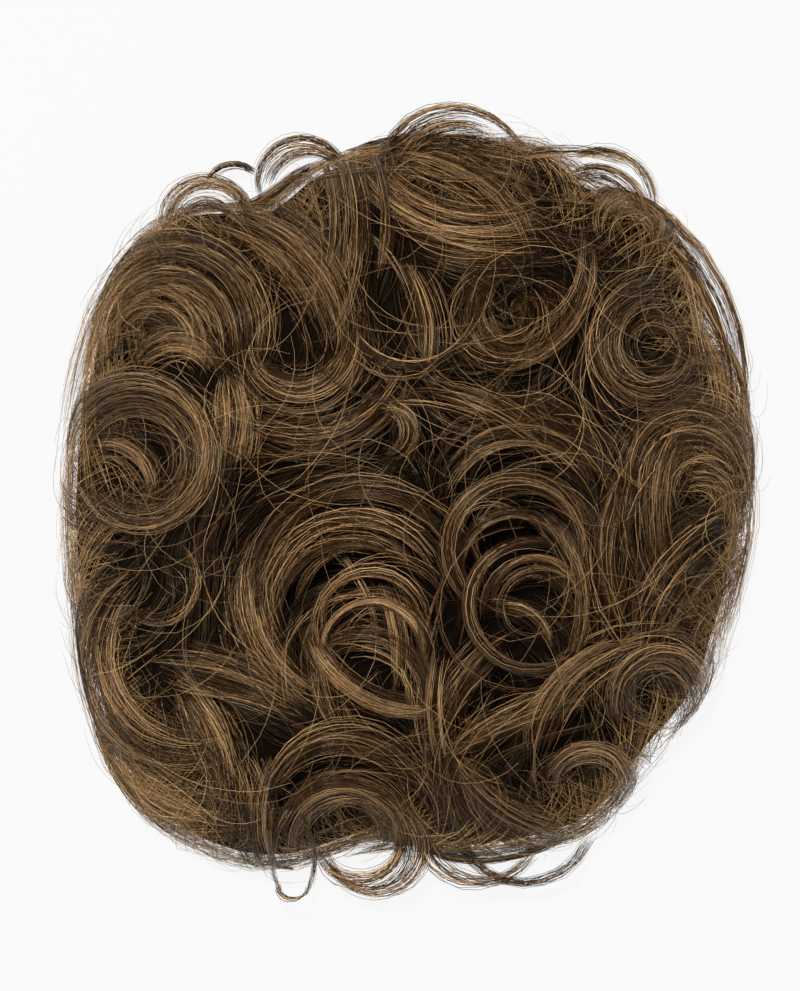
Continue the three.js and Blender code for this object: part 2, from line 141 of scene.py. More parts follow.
LOCKS: dict[Section, tuple[Lock, ...]] = {
    Section.CROWN: (
        Lock(-15.5, -29, 15, 178, 31.5, 31, 2.4, 2.4, 1, 0.5),  # outer left arch
        Lock(-17, -33, 22, 165, 26.5, 27.5, 1.6, 2.4, 1, 0.5),  # second arch
        Lock(-18, -36, 32, 150, 21.5, 23, 1, 2, 1, 0.5),  # third arch
        Lock(-14, -36, 30, 125, 20.5, 20, 0.5, 0.5, 0, 0.65),  # thin arch
        Lock(-12.5, -39.5, 5, 195, 17, 17, 0.9, 1.1, 2.5, 0.66),  # upper bow
        Lock(2, -29, 200, 75, 35.5, 35.5, 1.3, 1.8, 2.5, 0.75),  # its end, which crosses under the bows
        Lock(-12, -47.5, -12, 190, 15, 15, 1.3, 1.4, 2, 0.58),  # middle bow
        Lock(11.5, -51, 176, 32, 40.5, 39, 2.2, 1.2, 2, 0.6),  # its end
        Lock(-14, -59.5, -12, 140, 18.5, 18.5, 1.6, 1.8, 1, 0.6),  # lower bow
        Lock(-13, -29, 160, 88, 37, 36, 4, 3, -1, 0.8),  # flank of the left arch
        Lock(80, -62, 168, 26, 74, 74, 2.5, 2, 0, 0.64),  # fall along the parting
        Lock(-60, -45, 18, -30, 55, 57, 1.8, 2, 1, 0.6),  # fall left of the parting
        Lock(31, -16, 238, -253, 20, 20, 2, 1.8, 1.5, 0.7),  # right arch
        Lock(29.5, -21.5, 185, -170, 16, 16, 0.9, 0.9, 2, 0.6),  # thin arch inside it
        Lock(15, -33, 45, -75, 36.5, 36.5, 2.4, 1.8, 0, 0.62),  # flank of the right arch
        Lock(35.5, -33.5, 60, 240, 19.5, 19.5, 1.5, 1.3, 3, 0.58),  # right ring
        Lock(36.5, -32, 185, -170, 13, 13, 0.4, 0.4, 1, 0.7),  # thin bow inside the ring
        Lock(28, -47, 105, -95, 13.5, 13, 1.4, 1.4, -2, 0.5),  # turn inside the ring
        Lock(31, -5, 165, -140, 23, 23, 3, 3, 0, 0.5),  # upper right arch
        Lock(5, -25, 90, -48, 56, 52, 3, 3, 0, 0.55),  # band over it
        Lock(32, 4, 100, -95, 22.5, 22.5, 3, 3, -3, 0.4),  # wave behind the band
        Lock(-40, 50, 27, -45, 42, 46, 1.8, 2.6, 2, 0.72),  # bright fall
        Lock(-34, 45, 50, -230, 16.5, 15, 4, 4, -1, 0.52),  # left cup
        Lock(-31, 45, -15, -110, 28.5, 28.5, 4, 4, 0, 0.5),  # arc under the cup
        Lock(-1, 58, 195, 170, 20, 20, 0.8, 1, 1, 0.45),  # middle cup
        Lock(29, 53, 55, -320, 11.5, 11, 4, 3, -2, 0.42),  # small ring
        Lock(29, 53, 90, -330, 6, 5, 2.5, 2.5, -5, 0.38),  # core of the small ring
        Lock(17, 60, 20, -80, 38, 24, 1.8, 1.3, 2, 0.75),  # lock that feeds the small ring
        Lock(-8, 19, 130, -200, 7, 7, 1.8, 1.5, 0, 0.6),  # tight curl
        Lock(35, -160, 78, 30, 103, 84, 4, 3, -2, 0.55),  # sweep into the parting
        Lock(50, -80, 126, 46, 41, 42, 4, 3, -1, 0.5),  # fall right of the parting
    ),
    Section.LEFT: (
        Lock(-82, 11, 170, -310, 20, 16, 5, 4, 4, 0.5),  # large ring
        Lock(-91.5, 2, 105, -110, 13.5, 13.5, 2, 1.6, -1, 0.62),  # lock inside the ring
        Lock(-74, 48, -25, 200, 24, 20, 8, 7, 1, 0.54),  # crest above the ring
        Lock(-79, 46, -10, 170, 13, 13, 5, 5, -2, 0.66),  # fan inside the crest
        Lock(-72, 34, 10, 150, 13, 12, 4, 4, -4, 0.66),  # fall from the crest to the ring
        Lock(-67, -50, 130, 150, 31, 29, 5, 5, 1, 0.58),  # fall round the edge
        Lock(-77, -26, 60, -170, 12.5, 12, 1.5, 1.2, -4, 0.5),  # hook under the ring
        Lock(-83, -140, 84, -27, 90, 90, 8, 3, -3, 0.5),  # fan that gathers inwards
        Lock(-140, -92, 27, -27, 79, 84, 7, 9, -5, 0.62),  # fall across the fan
        Lock(-55, -59, 195, 80, 41, 40, 6, 7, -5, 0.66),  # band along the hem
        Lock(-90, 22, 20, -40, 38, 38, 5, 5, -3, 0.62),  # short fall beside the ring
    ),
    Section.RIGHT: (
        Lock(73, 45, 70, 290, 17, 12, 5, 3.5, 1, 0.42),  # large ring
        Lock(74, 44, 200, -300, 8, 6, 2.5, 2, -5, 0.35),  # core of the large ring
        Lock(62, 31, 68, -80, 40, 40, 2, 2, -1, 0.64),  # thin outer bow
        Lock(85, 5, 235, -250, 16, 14, 8, 6, 0, 0.54),  # round arch
        Lock(87, -2, 130, -165, 9, 9, 4, 4, -3, 0.6),  # turn inside the round arch
        Lock(116, -4, 136, 66, 45, 45, 4, 4, -1, 0.5),  # flank of the arch
        Lock(98, -20, 140, 70, 44, 41, 2, 2.2, 0, 0.42),  # inner fall
        Lock(98, -8, 150, 55, 35, 35, 1.6, 1.6, 0, 0.5),  # fall beside it
        Lock(108, -46, 101, 78, 40, 39, 5, 4, -1, 0.26),  # flow to the hem
        Lock(125, -60, 119, 42, 49, 48, 6, 5, -4, 0.42),  # outer flow to the hem
        Lock(75, -60, 215, -260, 15, 13, 4.5, 3.4, 1, 0.62),  # low curl
        Lock(71, -80, 92, 82, 35, 34, 2.2, 3.5, 1, 0.56),  # sweep over the low curl
        Lock(54, -89, 170, -200, 12, 11, 2.2, 2, 1, 0.6),  # tip curl
    ),
    Section.NAPE: (
        Lock(44, -56, 211, 66, 38, 47, 4, 8, -1, 0.47),  # right fan
        Lock(23, -89, 215, 105, 26, 27, 2, 2, -2, 0.5),  # thin edge bow
        Lock(75, -72, 182, 30, 65, 61, 3, 6, -3, 0.55),  # middle fall
        Lock(-19, -104, 185, -260, 17, 14, 3.8, 2.6, 3, 0.68),  # left curl
        Lock(-20, -96, 165, -135, 23.5, 23.5, 2, 3, 1, 0.58),  # arch over the curl
        Lock(-5, -98, 154, 54, 40, 39, 0.8, 0.8, 2, 0.6),  # hanging strand
        Lock(-140, -100, 13, -18, 87, 87, 7, 9, -5, 0.7),  # left fringe
    ),
    Section.FRONT: (
        Lock(-75, 83, 21, -40, 57, 59, 1.6, 2.2, 1, 0.7),  # fall from the hairline
        Lock(-72, 86, 18, -34, 62, 65, 1.2, 1.6, 1, 0.6),  # fall to its right
        Lock(-75, 83, 19, -38, 52, 53, 1.2, 1.8, 0, 0.5),  # fall to its left
        Lock(9, 80, 140, -90, 27, 27, 2.5, 3, 0, 0.5),  # bow along the hairline
        Lock(-1, -15, 99, -33, 120, 118, 3, 4.5, -2, 0.4),  # sweep to the right
        Lock(-8, 60, 100, -78, 43, 46, 3, 5, -1, 0.5),  # fall to the right
        Lock(20, 121, 208, 84, 39, 39, 4, 4.5, 0, 0.6),  # swoop
        Lock(28, 147, 248, 30, 73, 73, 5, 4, -3, 0.45),  # lower swoop
        Lock(67, 82, 200, -260, 10, 9, 4.5, 4, -1, 0.6),  # right loop
        Lock(-34, 87, 190, -120, 13, 13, 3, 4, -4, 0.4),  # left curl
        Lock(-62, 45, 76, -72, 41, 42, 6, 5, 0, 0.66),  # flow from the left
        Lock(-62, 50, 84, -74, 32, 33, 4, 4, -1, 0.6),  # flow inside it
    ),
}

# Thin wisps that stand out past the mass, as locks of a few bare strands
WISPS: tuple[Lock, ...] = (
    Lock(-34, 94, 25, 155, 14, 13, 0.8, 1.2, 1, 0.6),  # arch at the top left
    Lock(-30, 92, 40, 120, 11, 14, 0.8, 1.5, -1, 0.55),  # sparse arch inside it
    Lock(-54.5, 92, 50, 110, 9, 9, 0.6, 0.6, 0, 0.6),  # small arch beside it
    Lock(-62, 82, 0, 190, 12.5, 12, 1.5, 2, -2, 0.6),  # sparse loop
    Lock(-62, 80, 10, 170, 8.5, 8, 0.8, 1, -3, 0.5),  # turn inside the loop
    Lock(12.9, 95.4, 160, -125, 22.2, 22.2, 1, 1, 2, 0.5),  # bow over the hairline
    Lock(13.5, 92, 162, -92, 20.5, 20.5, 2.6, 2.2, 1, 0.5),  # fuller strands inside its left half
    Lock(49, 43, 106, -30, 60.5, 60.5, 0.7, 0.7, 0, 0.55),  # flat bow that leads to the loop
    Lock(57, 88, 110, -110, 16.5, 16.5, 0.9, 0.9, 0, 0.6),  # loop at the top right
    Lock(55, 84, 110, -120, 14, 15, 1.5, 1.5, -1, 0.55),  # sparse strands inside the loop
    Lock(40, 35, 62, -68, 61, 61, 0.9, 1.1, 0, 0.6),  # bow down the right edge
    Lock(38, 35, 55, -60, 58, 59, 1.5, 1.5, -1, 0.5),  # sparse strands inside it
    Lock(-16.5, -109.8, 135, 64, 25.8, 25.8, 0.4, 0.3, 2, 0.55),  # left side of the drop under the nape
    Lock(-56, -109.8, 42, -60, 26.4, 26.4, 0.4, 0.3, 2, 0.5),  # its right side
    Lock(-36, -117.7, 196, 148, 4.8, 4.8, 0.4, 0.4, 3, 0.52),  # its round end
    Lock(-11.4, -106.8, 75, -225, 13.9, 13.9, 1.6, 0.9, 2, 0.62),  # hook under the nape
    Lock(-16, -104, 40, -190, 12, 13, 1.2, 1.5, 0, 0.55),  # sparse strands inside the hook
    Lock(20, -99, 190, 130, 17, 19, 0.9, 1.2, 2, 0.6),  # wave along the bottom edge
    Lock(33, -97, 205, 125, 20, 22, 0.8, 1, 1, 0.55),  # wave to its right
)


def linear(code: str) -> tuple[float, float, float, float]:
    """Turns an sRGB hex code into linear colour.

    Args:
        code: Six hex digits after a hash sign.

    Returns:
        Red, green, blue and an alpha of 1.
    """
    parts = [int(code[i : i + 2], 16) / 255 for i in (1, 3, 5)]
    light = [p / 12.92 if p <= 0.04045 else ((p + 0.055) / 1.055) ** 2.4 for p in parts]
    return light[0], light[1], light[2], 1.0


def add_node(
    tree: bpy.types.NodeTree,
    kind: str,
    inputs: dict[str | int, object] | None = None,
    stops: dict[float, tuple[float, float, float, float]] | None = None,
    **settings: object,
) -> bpy.types.Node:
    """Adds a node with its settings, values and links.

    Args:
        tree: The tree that takes it.
        kind: The node's type.
        inputs: By an input's name or number, a value to set, a socket to link, or a node whose first output
            is linked.
        stops: For a ramp, its colours by position.
        settings: The node's plain properties.

    Returns:
        The node.
    """
    node = tree.nodes.new(kind)
    for key, value in settings.items():
        setattr(node, key, value)
    for key, value in (inputs or {}).items():
        source = value.outputs[0] if isinstance(value, bpy.types.Node) else value
        if isinstance(source, bpy.types.NodeSocket):
            tree.links.new(source, node.inputs[key])
        else:
            node.inputs[key].default_value = source
    for number, (position, colour) in enumerate((stops or {}).items()):
        elements = node.color_ramp.elements
        stop = elements[number] if number < 2 else elements.new(position)
        stop.position = position
        stop.color = colour
    return node


def new_material(name: str, roughness: float) -> tuple[bpy.types.Material, bpy.types.Node]:
    """Makes a material with one Principled shader.

    Args:
        name: What the material is.
        roughness: The shader's roughness.

    Returns:
        The material and the shader.
    """
    made = bpy.data.materials.new(name)
    made.use_nodes = True
    shader = made.node_tree.nodes["Principled BSDF"]
    shader.inputs["Roughness"].default_value = roughness
    return made, shader


def put(name: str, data: bpy.types.ID) -> bpy.types.Object:
    """Makes an object of a mesh, a light or a camera and links it to the scene."""
    made = bpy.data.objects.new(name, data)
    bpy.context.scene.collection.objects.link(made)
    return made


def unit(ways: np.ndarray) -> np.ndarray:
    """Scales the directions on the last axis to a length of 1."""
    return ways / np.maximum(np.linalg.norm(ways, axis=-1, keepdims=True), 1e-9)


def along(steps: int) -> np.ndarray:
    """Gives even shares of the way along a strand, in one row."""
    return np.linspace(0, 1, steps)[None, :]


def tucked(t: np.ndarray, depth: float, share: float) -> np.ndarray:
    """Gives how deep a strand's end dives: its depth at 0, and nothing past a share of the way."""
    return depth * np.clip(1 - t / share, 0, 1.2) ** 2


def raised(plan: np.ndarray, heights: np.ndarray | float) -> np.ndarray:
    """Joins plan places and their heights."""
    return np.concatenate([plan, np.broadcast_to(heights, plan.shape[:-1])[..., None]], -1)


def base_rise(share: float) -> float:
    """Gives the base's height at a share of the way to its rim, as a share of its full height."""
    return (1 - share**BASE_POWER) ** BASE_ROUNDING


@dataclass(frozen=True)
class Envelope:
    """The smooth dome that the crests of the curls reach, in millimetres."""

    half_width: float = 105.0
    half_length: float = 118.0
    outline_power: float = 2.3
    crown_height: float = 72.0
    edge_height: float = 13.0
    dome_power: float = 2.2
    dome_rounding: float = 0.6
    plain_edge: float = 0.985
    # Bulges and hollows of the edge: the middle and spread of each in degrees, and its share of the reach
    bulges: tuple[tuple[float, float, float], ...] = (
        (30, 8, -0.05),
        (59, 9, -0.06),
        (85, 13, -0.068),
        (101, 8, -0.06),
        (116, 11, -0.155),
        (186, 18, 0.014),
        (231, 22, 0.085),
        (264, 11, -0.1),
        (284, 14, -0.04),
        (312, 10, -0.055),
        (335, 18, -0.045),
    )

    def share(self, x: np.ndarray, y: np.ndarray) -> np.ndarray:
        """Gives how far plan positions lie from the middle, as a share of the way to the outline.

        Args:
            x: Positions to the right.
            y: Positions to the front.

        Returns:
            0 in the middle and 1 on the outline.
        """
        across = np.abs(x / self.half_width) ** self.outline_power
        lengthwise = np.abs(y / self.half_length) ** self.outline_power
        turn = np.degrees(np.arctan2(y, x))
        edge = self.plain_edge
        for middle, spread, swell in self.bulges:
            apart = (turn - middle + 180) % 360 - 180
            edge = edge + swell * np.exp(-((apart / spread) ** 2))
        return (across + lengthwise) ** (1 / self.outline_power) / edge

    def plan(self, turn: np.ndarray, share: np.ndarray | float) -> np.ndarray:
        """Gives the plan positions at angles and shares of the way to the outline.

        Args:
            turn: Angles about the middle, in radians.
            share: How far out each lies.

        Returns:
            Positions to the right and to the front, on the last axis.
        """
        reach = share / self.share(np.cos(turn), np.sin(turn))
        return np.stack([reach * np.cos(turn), reach * np.sin(turn)], -1)

    def height(self, share: np.ndarray) -> np.ndarray:
        """Gives the dome's height at a share of the way to the outline.

        Args:
            share: What the share method returns.

        Returns:
            Heights over the surface that the topper lies on.
        """
        inside = np.clip(share, 0, 1)
        rise = (1 - inside**self.dome_power) ** self.dome_rounding
        return self.edge_height + (self.crown_height - self.edge_height) * rise

    def revolved(self, name: str, profile: list[tuple[float, float]], facets: int,
                 finish: bpy.types.Material, origin: Vector) -> bpy.types.Object:
        """Makes a closed body of revolution whose plan has the hair's outline.

        Args:
            name: The piece's name.
            profile: Shares of the way to the outline with heights, from the axis outwards and back to it.
            facets: Steps round the axis.
            finish: Its material.
            origin: Where the middle of the base lies in the row frame.

        Returns:
            The piece, with a map of its turn and its profile.
        """
        angles = np.linspace(0, 2 * np.pi, facets, endpoint=False)
        rows = profile[1:-1]
        places = [raised(self.plan(angles, share), height) for share, height in rows]
        places.append(np.array([[0, 0, profile[0][1]], [0, 0, profile[-1][1]]]))
        top, under = len(rows) * facets, len(rows) * facets + 1
        faces, turns = [], []
        for side in range(facets):
            after = (side + 1) % facets
            faces.append((top, side, after))
            for row in range(len(rows) - 1):
                low, high = row * facets, (row + 1) * facets
                faces.append((low + side, high + side, high + after, low + after))
            faces.append((under, top - facets + after, top - facets + side))
            turns += [side] * (len(rows) + 1)
        mesh = bpy.data.meshes.new(name)
        mesh.from_pydata(np.concatenate(places) * MM + np.array(origin), [], faces)
        layer = mesh.uv_layers.new(name=BAKE_MAP)
        for polygon, side in zip(mesh.polygons, turns):
            polygon.use_smooth = True
            for loop in polygon.loop_indices:
                row, step = divmod(mesh.loops[loop].vertex_index, facets)
                if row == len(rows):
                    row = -1 if step == 0 else row
                    step = side + 0.5
                elif step < side:
                    step = facets
                layer.data[loop].uv = (step / facets, (row + 1) / (len(rows) + 1))
        mesh.materials.append(finish)
        return put(name, mesh)


@dataclass(frozen=True)
class HairFinish:
    """Heat-set synthetic hair: smooth drawn fibre, so a warm narrow gloss over streaky brown.

    streaks and leanings count the changes of shade and of hue along a strand and from tone to tone.
    """

    name: str
    dark: str
    middle: str
    light: str
    roughness: float
    gloss: float = 0.5
    fibre_ior: float = 1.55
    sheen: str = "#f0d6b2"
    root_shade: float = 0.5
    root_share: float = 0.3
    red_lean: str = "#ffe4c8"
    ash_lean: str = "#f1fdff"
    leanings: tuple[float, float, float] = (0.3, 420.0, 1.0)
    streak_low: float = 0.6
    streak_high: float = 1.4
    streaks: tuple[float, float, float] = (5.0, 160.0, 1.0)

    def material(self) -> bpy.types.Material:
        """Builds the material, which reads the strand map: U along a strand and V its tone.

        Returns:
            The material.
        """
        made, shader = new_material(self.name, self.roughness)
        shader.inputs["IOR"].default_value = self.fibre_ior
        shader.inputs["Specular IOR Level"].default_value = self.gloss
        shader.inputs["Specular Tint"].default_value = linear(self.sheen)
        add = partial(add_node, made.node_tree)
        strand = add("ShaderNodeUVMap", uv_map=BAKE_MAP)
        split = add("ShaderNodeSeparateXYZ", {"Vector": strand}).outputs
        tone = add(
            "ShaderNodeValToRGB", {"Fac": split["Y"]},
            {0.0: linear(self.dark), 1.0: linear(self.light), 0.5: linear(self.middle)},
        )
        # Roots are shaded by the hair over them
        rooted = add(
            "ShaderNodeValToRGB", {"Fac": split["X"]},
            {0.0: (self.root_shade,) * 3 + (1.0,), self.root_share: (1.0,) * 4},
        )
        # Streaks a fifth of a strand long, and different from strand to strand
        stretch = add("ShaderNodeMapping", {"Vector": strand, "Scale": self.streaks})
        streak = add("ShaderNodeTexNoise", {"Vector": stretch, "Scale": 1.0})
        shade = add(
            "ShaderNodeMapRange",
            {"Value": streak, "From Min": 0.25, "From Max": 0.75,
             "To Min": self.streak_low, "To Max": self.streak_high},
        )
        # Some strands lean to red and some to ash
        alone = add("ShaderNodeMapping", {"Vector": strand, "Scale": self.leanings})
        chance = add("ShaderNodeTexNoise", {"Vector": alone, "Scale": 1.0})
        hue = add(
            "ShaderNodeValToRGB", {"Fac": chance}, {0.35: linear(self.red_lean), 0.65: linear(self.ash_lean)}
        )
        leaning = add("ShaderNodeVectorMath", {0: tone, 1: hue}, operation="MULTIPLY")
        shaded = add("ShaderNodeVectorMath", {0: leaning, 1: rooted}, operation="MULTIPLY")
        streaked = add("ShaderNodeVectorMath", {0: shaded, "Scale": shade}, operation="SCALE")
        made.node_tree.links.new(streaked.outputs["Vector"], shader.inputs["Base Color"])
        return made


@dataclass(frozen=True)
class NetFinish:
    """Knitted nylon net: matt brown threads over dark holes, raised where they cross."""

    name: str = "knitted_nylon_net"
    thread: str = "#4a3524"
    hole: str = "#1a120b"
    roughness: float = 0.85
    pitch_mm: float = 1.6
    relief_mm: float = 0.3
    relief_strength: float = 0.6

    def material(self) -> bpy.types.Material:
        """Builds the material, with two sets of slanting threads on Object coordinates.

        Returns:
            The material.
        """
        made, shader = new_material(self.name, self.roughness)
        add, links = partial(add_node, made.node_tree), made.node_tree.links
        place = add("ShaderNodeTexCoord").outputs["Object"]
        # A wave texture has 20 / 2 pi bands to the unit
        bands = 2 * math.pi / (20 * self.pitch_mm * MM)
        threads = []
        for turn in (45, -45):
            turned = add("ShaderNodeMapping", {"Vector": place, "Rotation": (0, 0, math.radians(turn))})
            wave = add("ShaderNodeTexWave", {"Vector": turned, "Scale": bands})
            threads.append(wave.outputs["Fac"])
        height = add("ShaderNodeMath", {0: threads[0], 1: threads[1]}, operation="MAXIMUM")
        colour = add(
            "ShaderNodeValToRGB", {"Fac": height}, {0.55: linear(self.hole), 0.85: linear(self.thread)}
        )
        bump = add(
            "ShaderNodeBump",
            {"Strength": self.relief_strength, "Distance": self.relief_mm * MM, "Height": height},
        )
        links.new(colour.outputs["Color"], shader.inputs["Base Color"])
        links.new(bump.outputs["Normal"], shader.inputs["Normal"])
        return made


@dataclass(frozen=True)
class LacquerFinish:
    """Lacquered spring steel: a thin brown coat, half glossy, with soft wear."""

    name: str = "brown_lacquer"
    coat: str = "#3b2a1e"
    worn: str = "#5a4330"
    roughness: float = 0.32
    coat_weight: float = 0.3
    wear_mm: float = 3.0
    wear_detail: float = 6.0

    def material(self) -> bpy.types.Material:
        """Builds the material, with soft wear on Object coordinates.

        Returns:
            The material.
        """
        made, shader = new_material(self.name, self.roughness)
        shader.inputs["Coat Weight"].default_value = self.coat_weight
        add = partial(add_node, made.node_tree)
        place = add("ShaderNodeTexCoord").outputs["Object"]
        wear = add(
            "ShaderNodeTexNoise",
            {"Vector": place, "Scale": 1 / (self.wear_mm * MM), "Detail": self.wear_detail},
        )
        colour = add("ShaderNodeValToRGB", {"Fac": wear}, {0.55: linear(self.coat), 0.8: linear(self.worn)})
        made.node_tree.links.new(colour.outputs["Color"], shader.inputs["Base Color"])
        return made


@dataclass
class Strands:
    """Strands laid out as rows of points, before they are swept into tubes.

    points holds one row of places per strand, girths each strand's share of the usual thickness, and tones
    its colour.
    """

    points: list[np.ndarray] = field(default_factory=list)
    girths: list[np.ndarray] = field(default_factory=list)
    tones: list[np.ndarray] = field(default_factory=list)

    def add(self, points: np.ndarray, girths: np.ndarray, tones: np.ndarray) -> Strands:
        """Adds a lock's strands.

        Args:
            points: Strands by points by 3, in millimetres from the middle of the base.
            girths: One per strand.
            tones: One per strand.

        Returns:
            All the strands.
        """
        self.points.append(points)
        self.girths.append(girths)
        self.tones.append(np.clip(tones, *TONE_LIMITS))
        return self

    def guides(self, name: str, origin: Vector) -> bpy.types.Object:
        """Makes an object whose edges are the strands' middle lines, with girth and tone on its points.

        Args:
            name: The object's name.
            origin: Where the middle of the base lies in the row frame.

        Returns:
            The object, linked to the scene.
        """
        places, edges, girths, tones, start = [], [], [], [], 0
        for points, girth, tone in zip(self.points, self.girths, self.tones):
            count, steps = points.shape[:2]
            index = start + np.arange(count * steps).reshape(count, steps)
            places.append(points.reshape(-1, 3) * MM + np.array(origin))
            edges.append(np.stack([index[:, :-1], index[:, 1:]], -1).reshape(-1, 2))
            girths.append(np.repeat(girth, steps))
            tones.append(np.repeat(tone, steps))
            start += count * steps
        mesh = bpy.data.meshes.new(name)
        mesh.from_pydata(np.concatenate(places), np.concatenate(edges), [])
        for label, values in (("girth", girths), ("tone", tones)):
            attribute = mesh.attributes.new(label, "FLOAT", "POINT")
            attribute.data.foreach_set("value", np.concatenate(values).astype(np.float32))
        return put(name, mesh)


class StrandSweep:
    """A Geometry Nodes tree that sweeps guide lines into tapered, frizzy strands with a strand map."""

    SIDES = 3
    ROOT_FRIZZ = 0.3
    FRIZZ_BY_TONE = 90.0
    MAP_WIDTH = 0.02
    HELPERS = ("along", "around", "tone", "girth")

    def __init__(self) -> None:
        """Builds the tree once, for every piece that uses it."""
        self.tree = bpy.data.node_groups.new("strand_sweep", "GeometryNodeTree")
        self.sockets: dict[str, str] = {}
        take = partial(self.tree.interface.new_socket, in_out="INPUT")
        take("Geometry", socket_type="NodeSocketGeometry")
        for name in ("Thickness", "Tip Share", "Frizz", "Frizz Pitch", "Seed"):
            self.sockets[name] = take(name, socket_type="NodeSocketFloat").identifier
        self.sockets["Finish"] = take("Finish", socket_type="NodeSocketMaterial").identifier
        self.tree.interface.new_socket("Geometry", in_out="OUTPUT", socket_type="NodeSocketGeometry")
        self._wire()

    def _wire(self) -> None:
        """Joins the tree: guides to curves, frizz, taper, sweep, strand map, finish."""
        add = partial(add_node, self.tree)
        given = add("NodeGroupInput").outputs
        factor = add("GeometryNodeSplineParameter").outputs["Factor"]
        read = {
            label: add("GeometryNodeInputNamedAttribute", {"Name": label}, data_type="FLOAT")
            for label in self.HELPERS
        }
        curves = add("GeometryNodeMeshToCurve", {"Mesh": given["Geometry"]})
        measured = add(
            "GeometryNodeStoreNamedAttribute", {"Geometry": curves, "Name": "along", "Value": factor},
            data_type="FLOAT",
        )

        # Frizz: smooth noise over the place and the strand's own tone, growing from the root
        own = add(
            "ShaderNodeMath", {0: read["tone"], 1: self.FRIZZ_BY_TONE, 2: given["Seed"]},
            operation="MULTIPLY_ADD",
        )
        fine = add("ShaderNodeMath", {0: 1.0, 1: given["Frizz Pitch"]}, operation="DIVIDE")
        noise = add("ShaderNodeTexNoise", {"W": own, "Scale": fine, "Detail": 0.0}, noise_dimensions="4D")
        centred = add(
            "ShaderNodeVectorMath", {0: noise.outputs["Color"], 1: (0.5, 0.5, 0.5)}, operation="SUBTRACT"
        )
        growth = add("ShaderNodeMath", {0: factor, 1: self.ROOT_FRIZZ}, operation="ADD")
        amount = add("ShaderNodeMath", {0: growth, 1: given["Frizz"]}, operation="MULTIPLY")
        offset = add("ShaderNodeVectorMath", {0: centred, "Scale": amount}, operation="SCALE")
        frizzy = add("GeometryNodeSetPosition", {"Geometry": measured, "Offset": offset})

        # Taper: full at the root, down to the tip's share at the end
        loss = add("ShaderNodeMath", {0: given["Tip Share"], 1: 1.0}, operation="SUBTRACT")
        bent = add("ShaderNodeMath", {0: read["along"], 1: 2.0}, operation="POWER")
        taper = add("ShaderNodeMath", {0: bent, 1: loss, 2: 1.0}, operation="MULTIPLY_ADD")
        thick = add("ShaderNodeMath", {0: given["Thickness"], 1: read["girth"]}, operation="MULTIPLY")
        scale = add("ShaderNodeMath", {0: thick, 1: taper}, operation="MULTIPLY")
        ring = add("GeometryNodeCurvePrimitiveCircle", {"Resolution": self.SIDES, "Radius": 0.5})
        rounded = add(
            "GeometryNodeStoreNamedAttribute", {"Geometry": ring, "Name": "around", "Value": factor},
            data_type="FLOAT",
        )
        tubes = add(
            "GeometryNodeCurveToMesh",
            {"Curve": frizzy, "Profile Curve": rounded, "Scale": scale, "Fill Caps": True},
        )

        # Strand map: along the strand, and its tone spread a little round it so that faces have width
        spread = add(
            "ShaderNodeMath",
            {0: read["around"], 1: self.MAP_WIDTH, 2: read["tone"]},
            operation="MULTIPLY_ADD",
        )
        place = add("ShaderNodeCombineXYZ", {"X": read["along"], "Y": spread})
        mapped = add(
            "GeometryNodeStoreNamedAttribute", {"Geometry": tubes, "Name": BAKE_MAP, "Value": place},
            data_type="FLOAT2", domain="CORNER",
        )
        smooth = add("GeometryNodeSetShadeSmooth", {"Geometry": mapped})
        real = add("GeometryNodeRealizeInstances", {"Geometry": smooth})
        dressed = add("GeometryNodeSetMaterial", {"Geometry": real, "Material": given["Finish"]})
        add("NodeGroupOutput", {"Geometry": dressed})

    def piece(self, guides: bpy.types.Object, finish: bpy.types.Material,
              **sizes: float) -> bpy.types.Object:
        """Sweeps guide lines into a plain mesh that takes their place.

        Args:
            guides: An object from Strands.guides.
            finish: The strands' material.
            sizes: The tree's inputs in lower case with underscores, lengths in metres.

        Returns:
            The piece, with the guides' name.
        """
        modifier = guides.modifiers.new("sweep", "NODES")
        modifier.node_group = self.tree
        modifier[self.sockets["Finish"]] = finish
        for name, value in sizes.items():
            modifier[self.sockets[name.replace("_", " ").title()]] = value
        seen = guides.evaluated_get(bpy.context.evaluated_depsgraph_get())
        mesh = bpy.data.meshes.new_from_object(seen)
        for label in self.HELPERS:
            helper = mesh.attributes.get(label)
            if helper is not None:
                mesh.attributes.remove(helper)
        guides.modifiers.remove(modifier)
        guides.data = mesh
        mesh.name = guides.name
        return guides


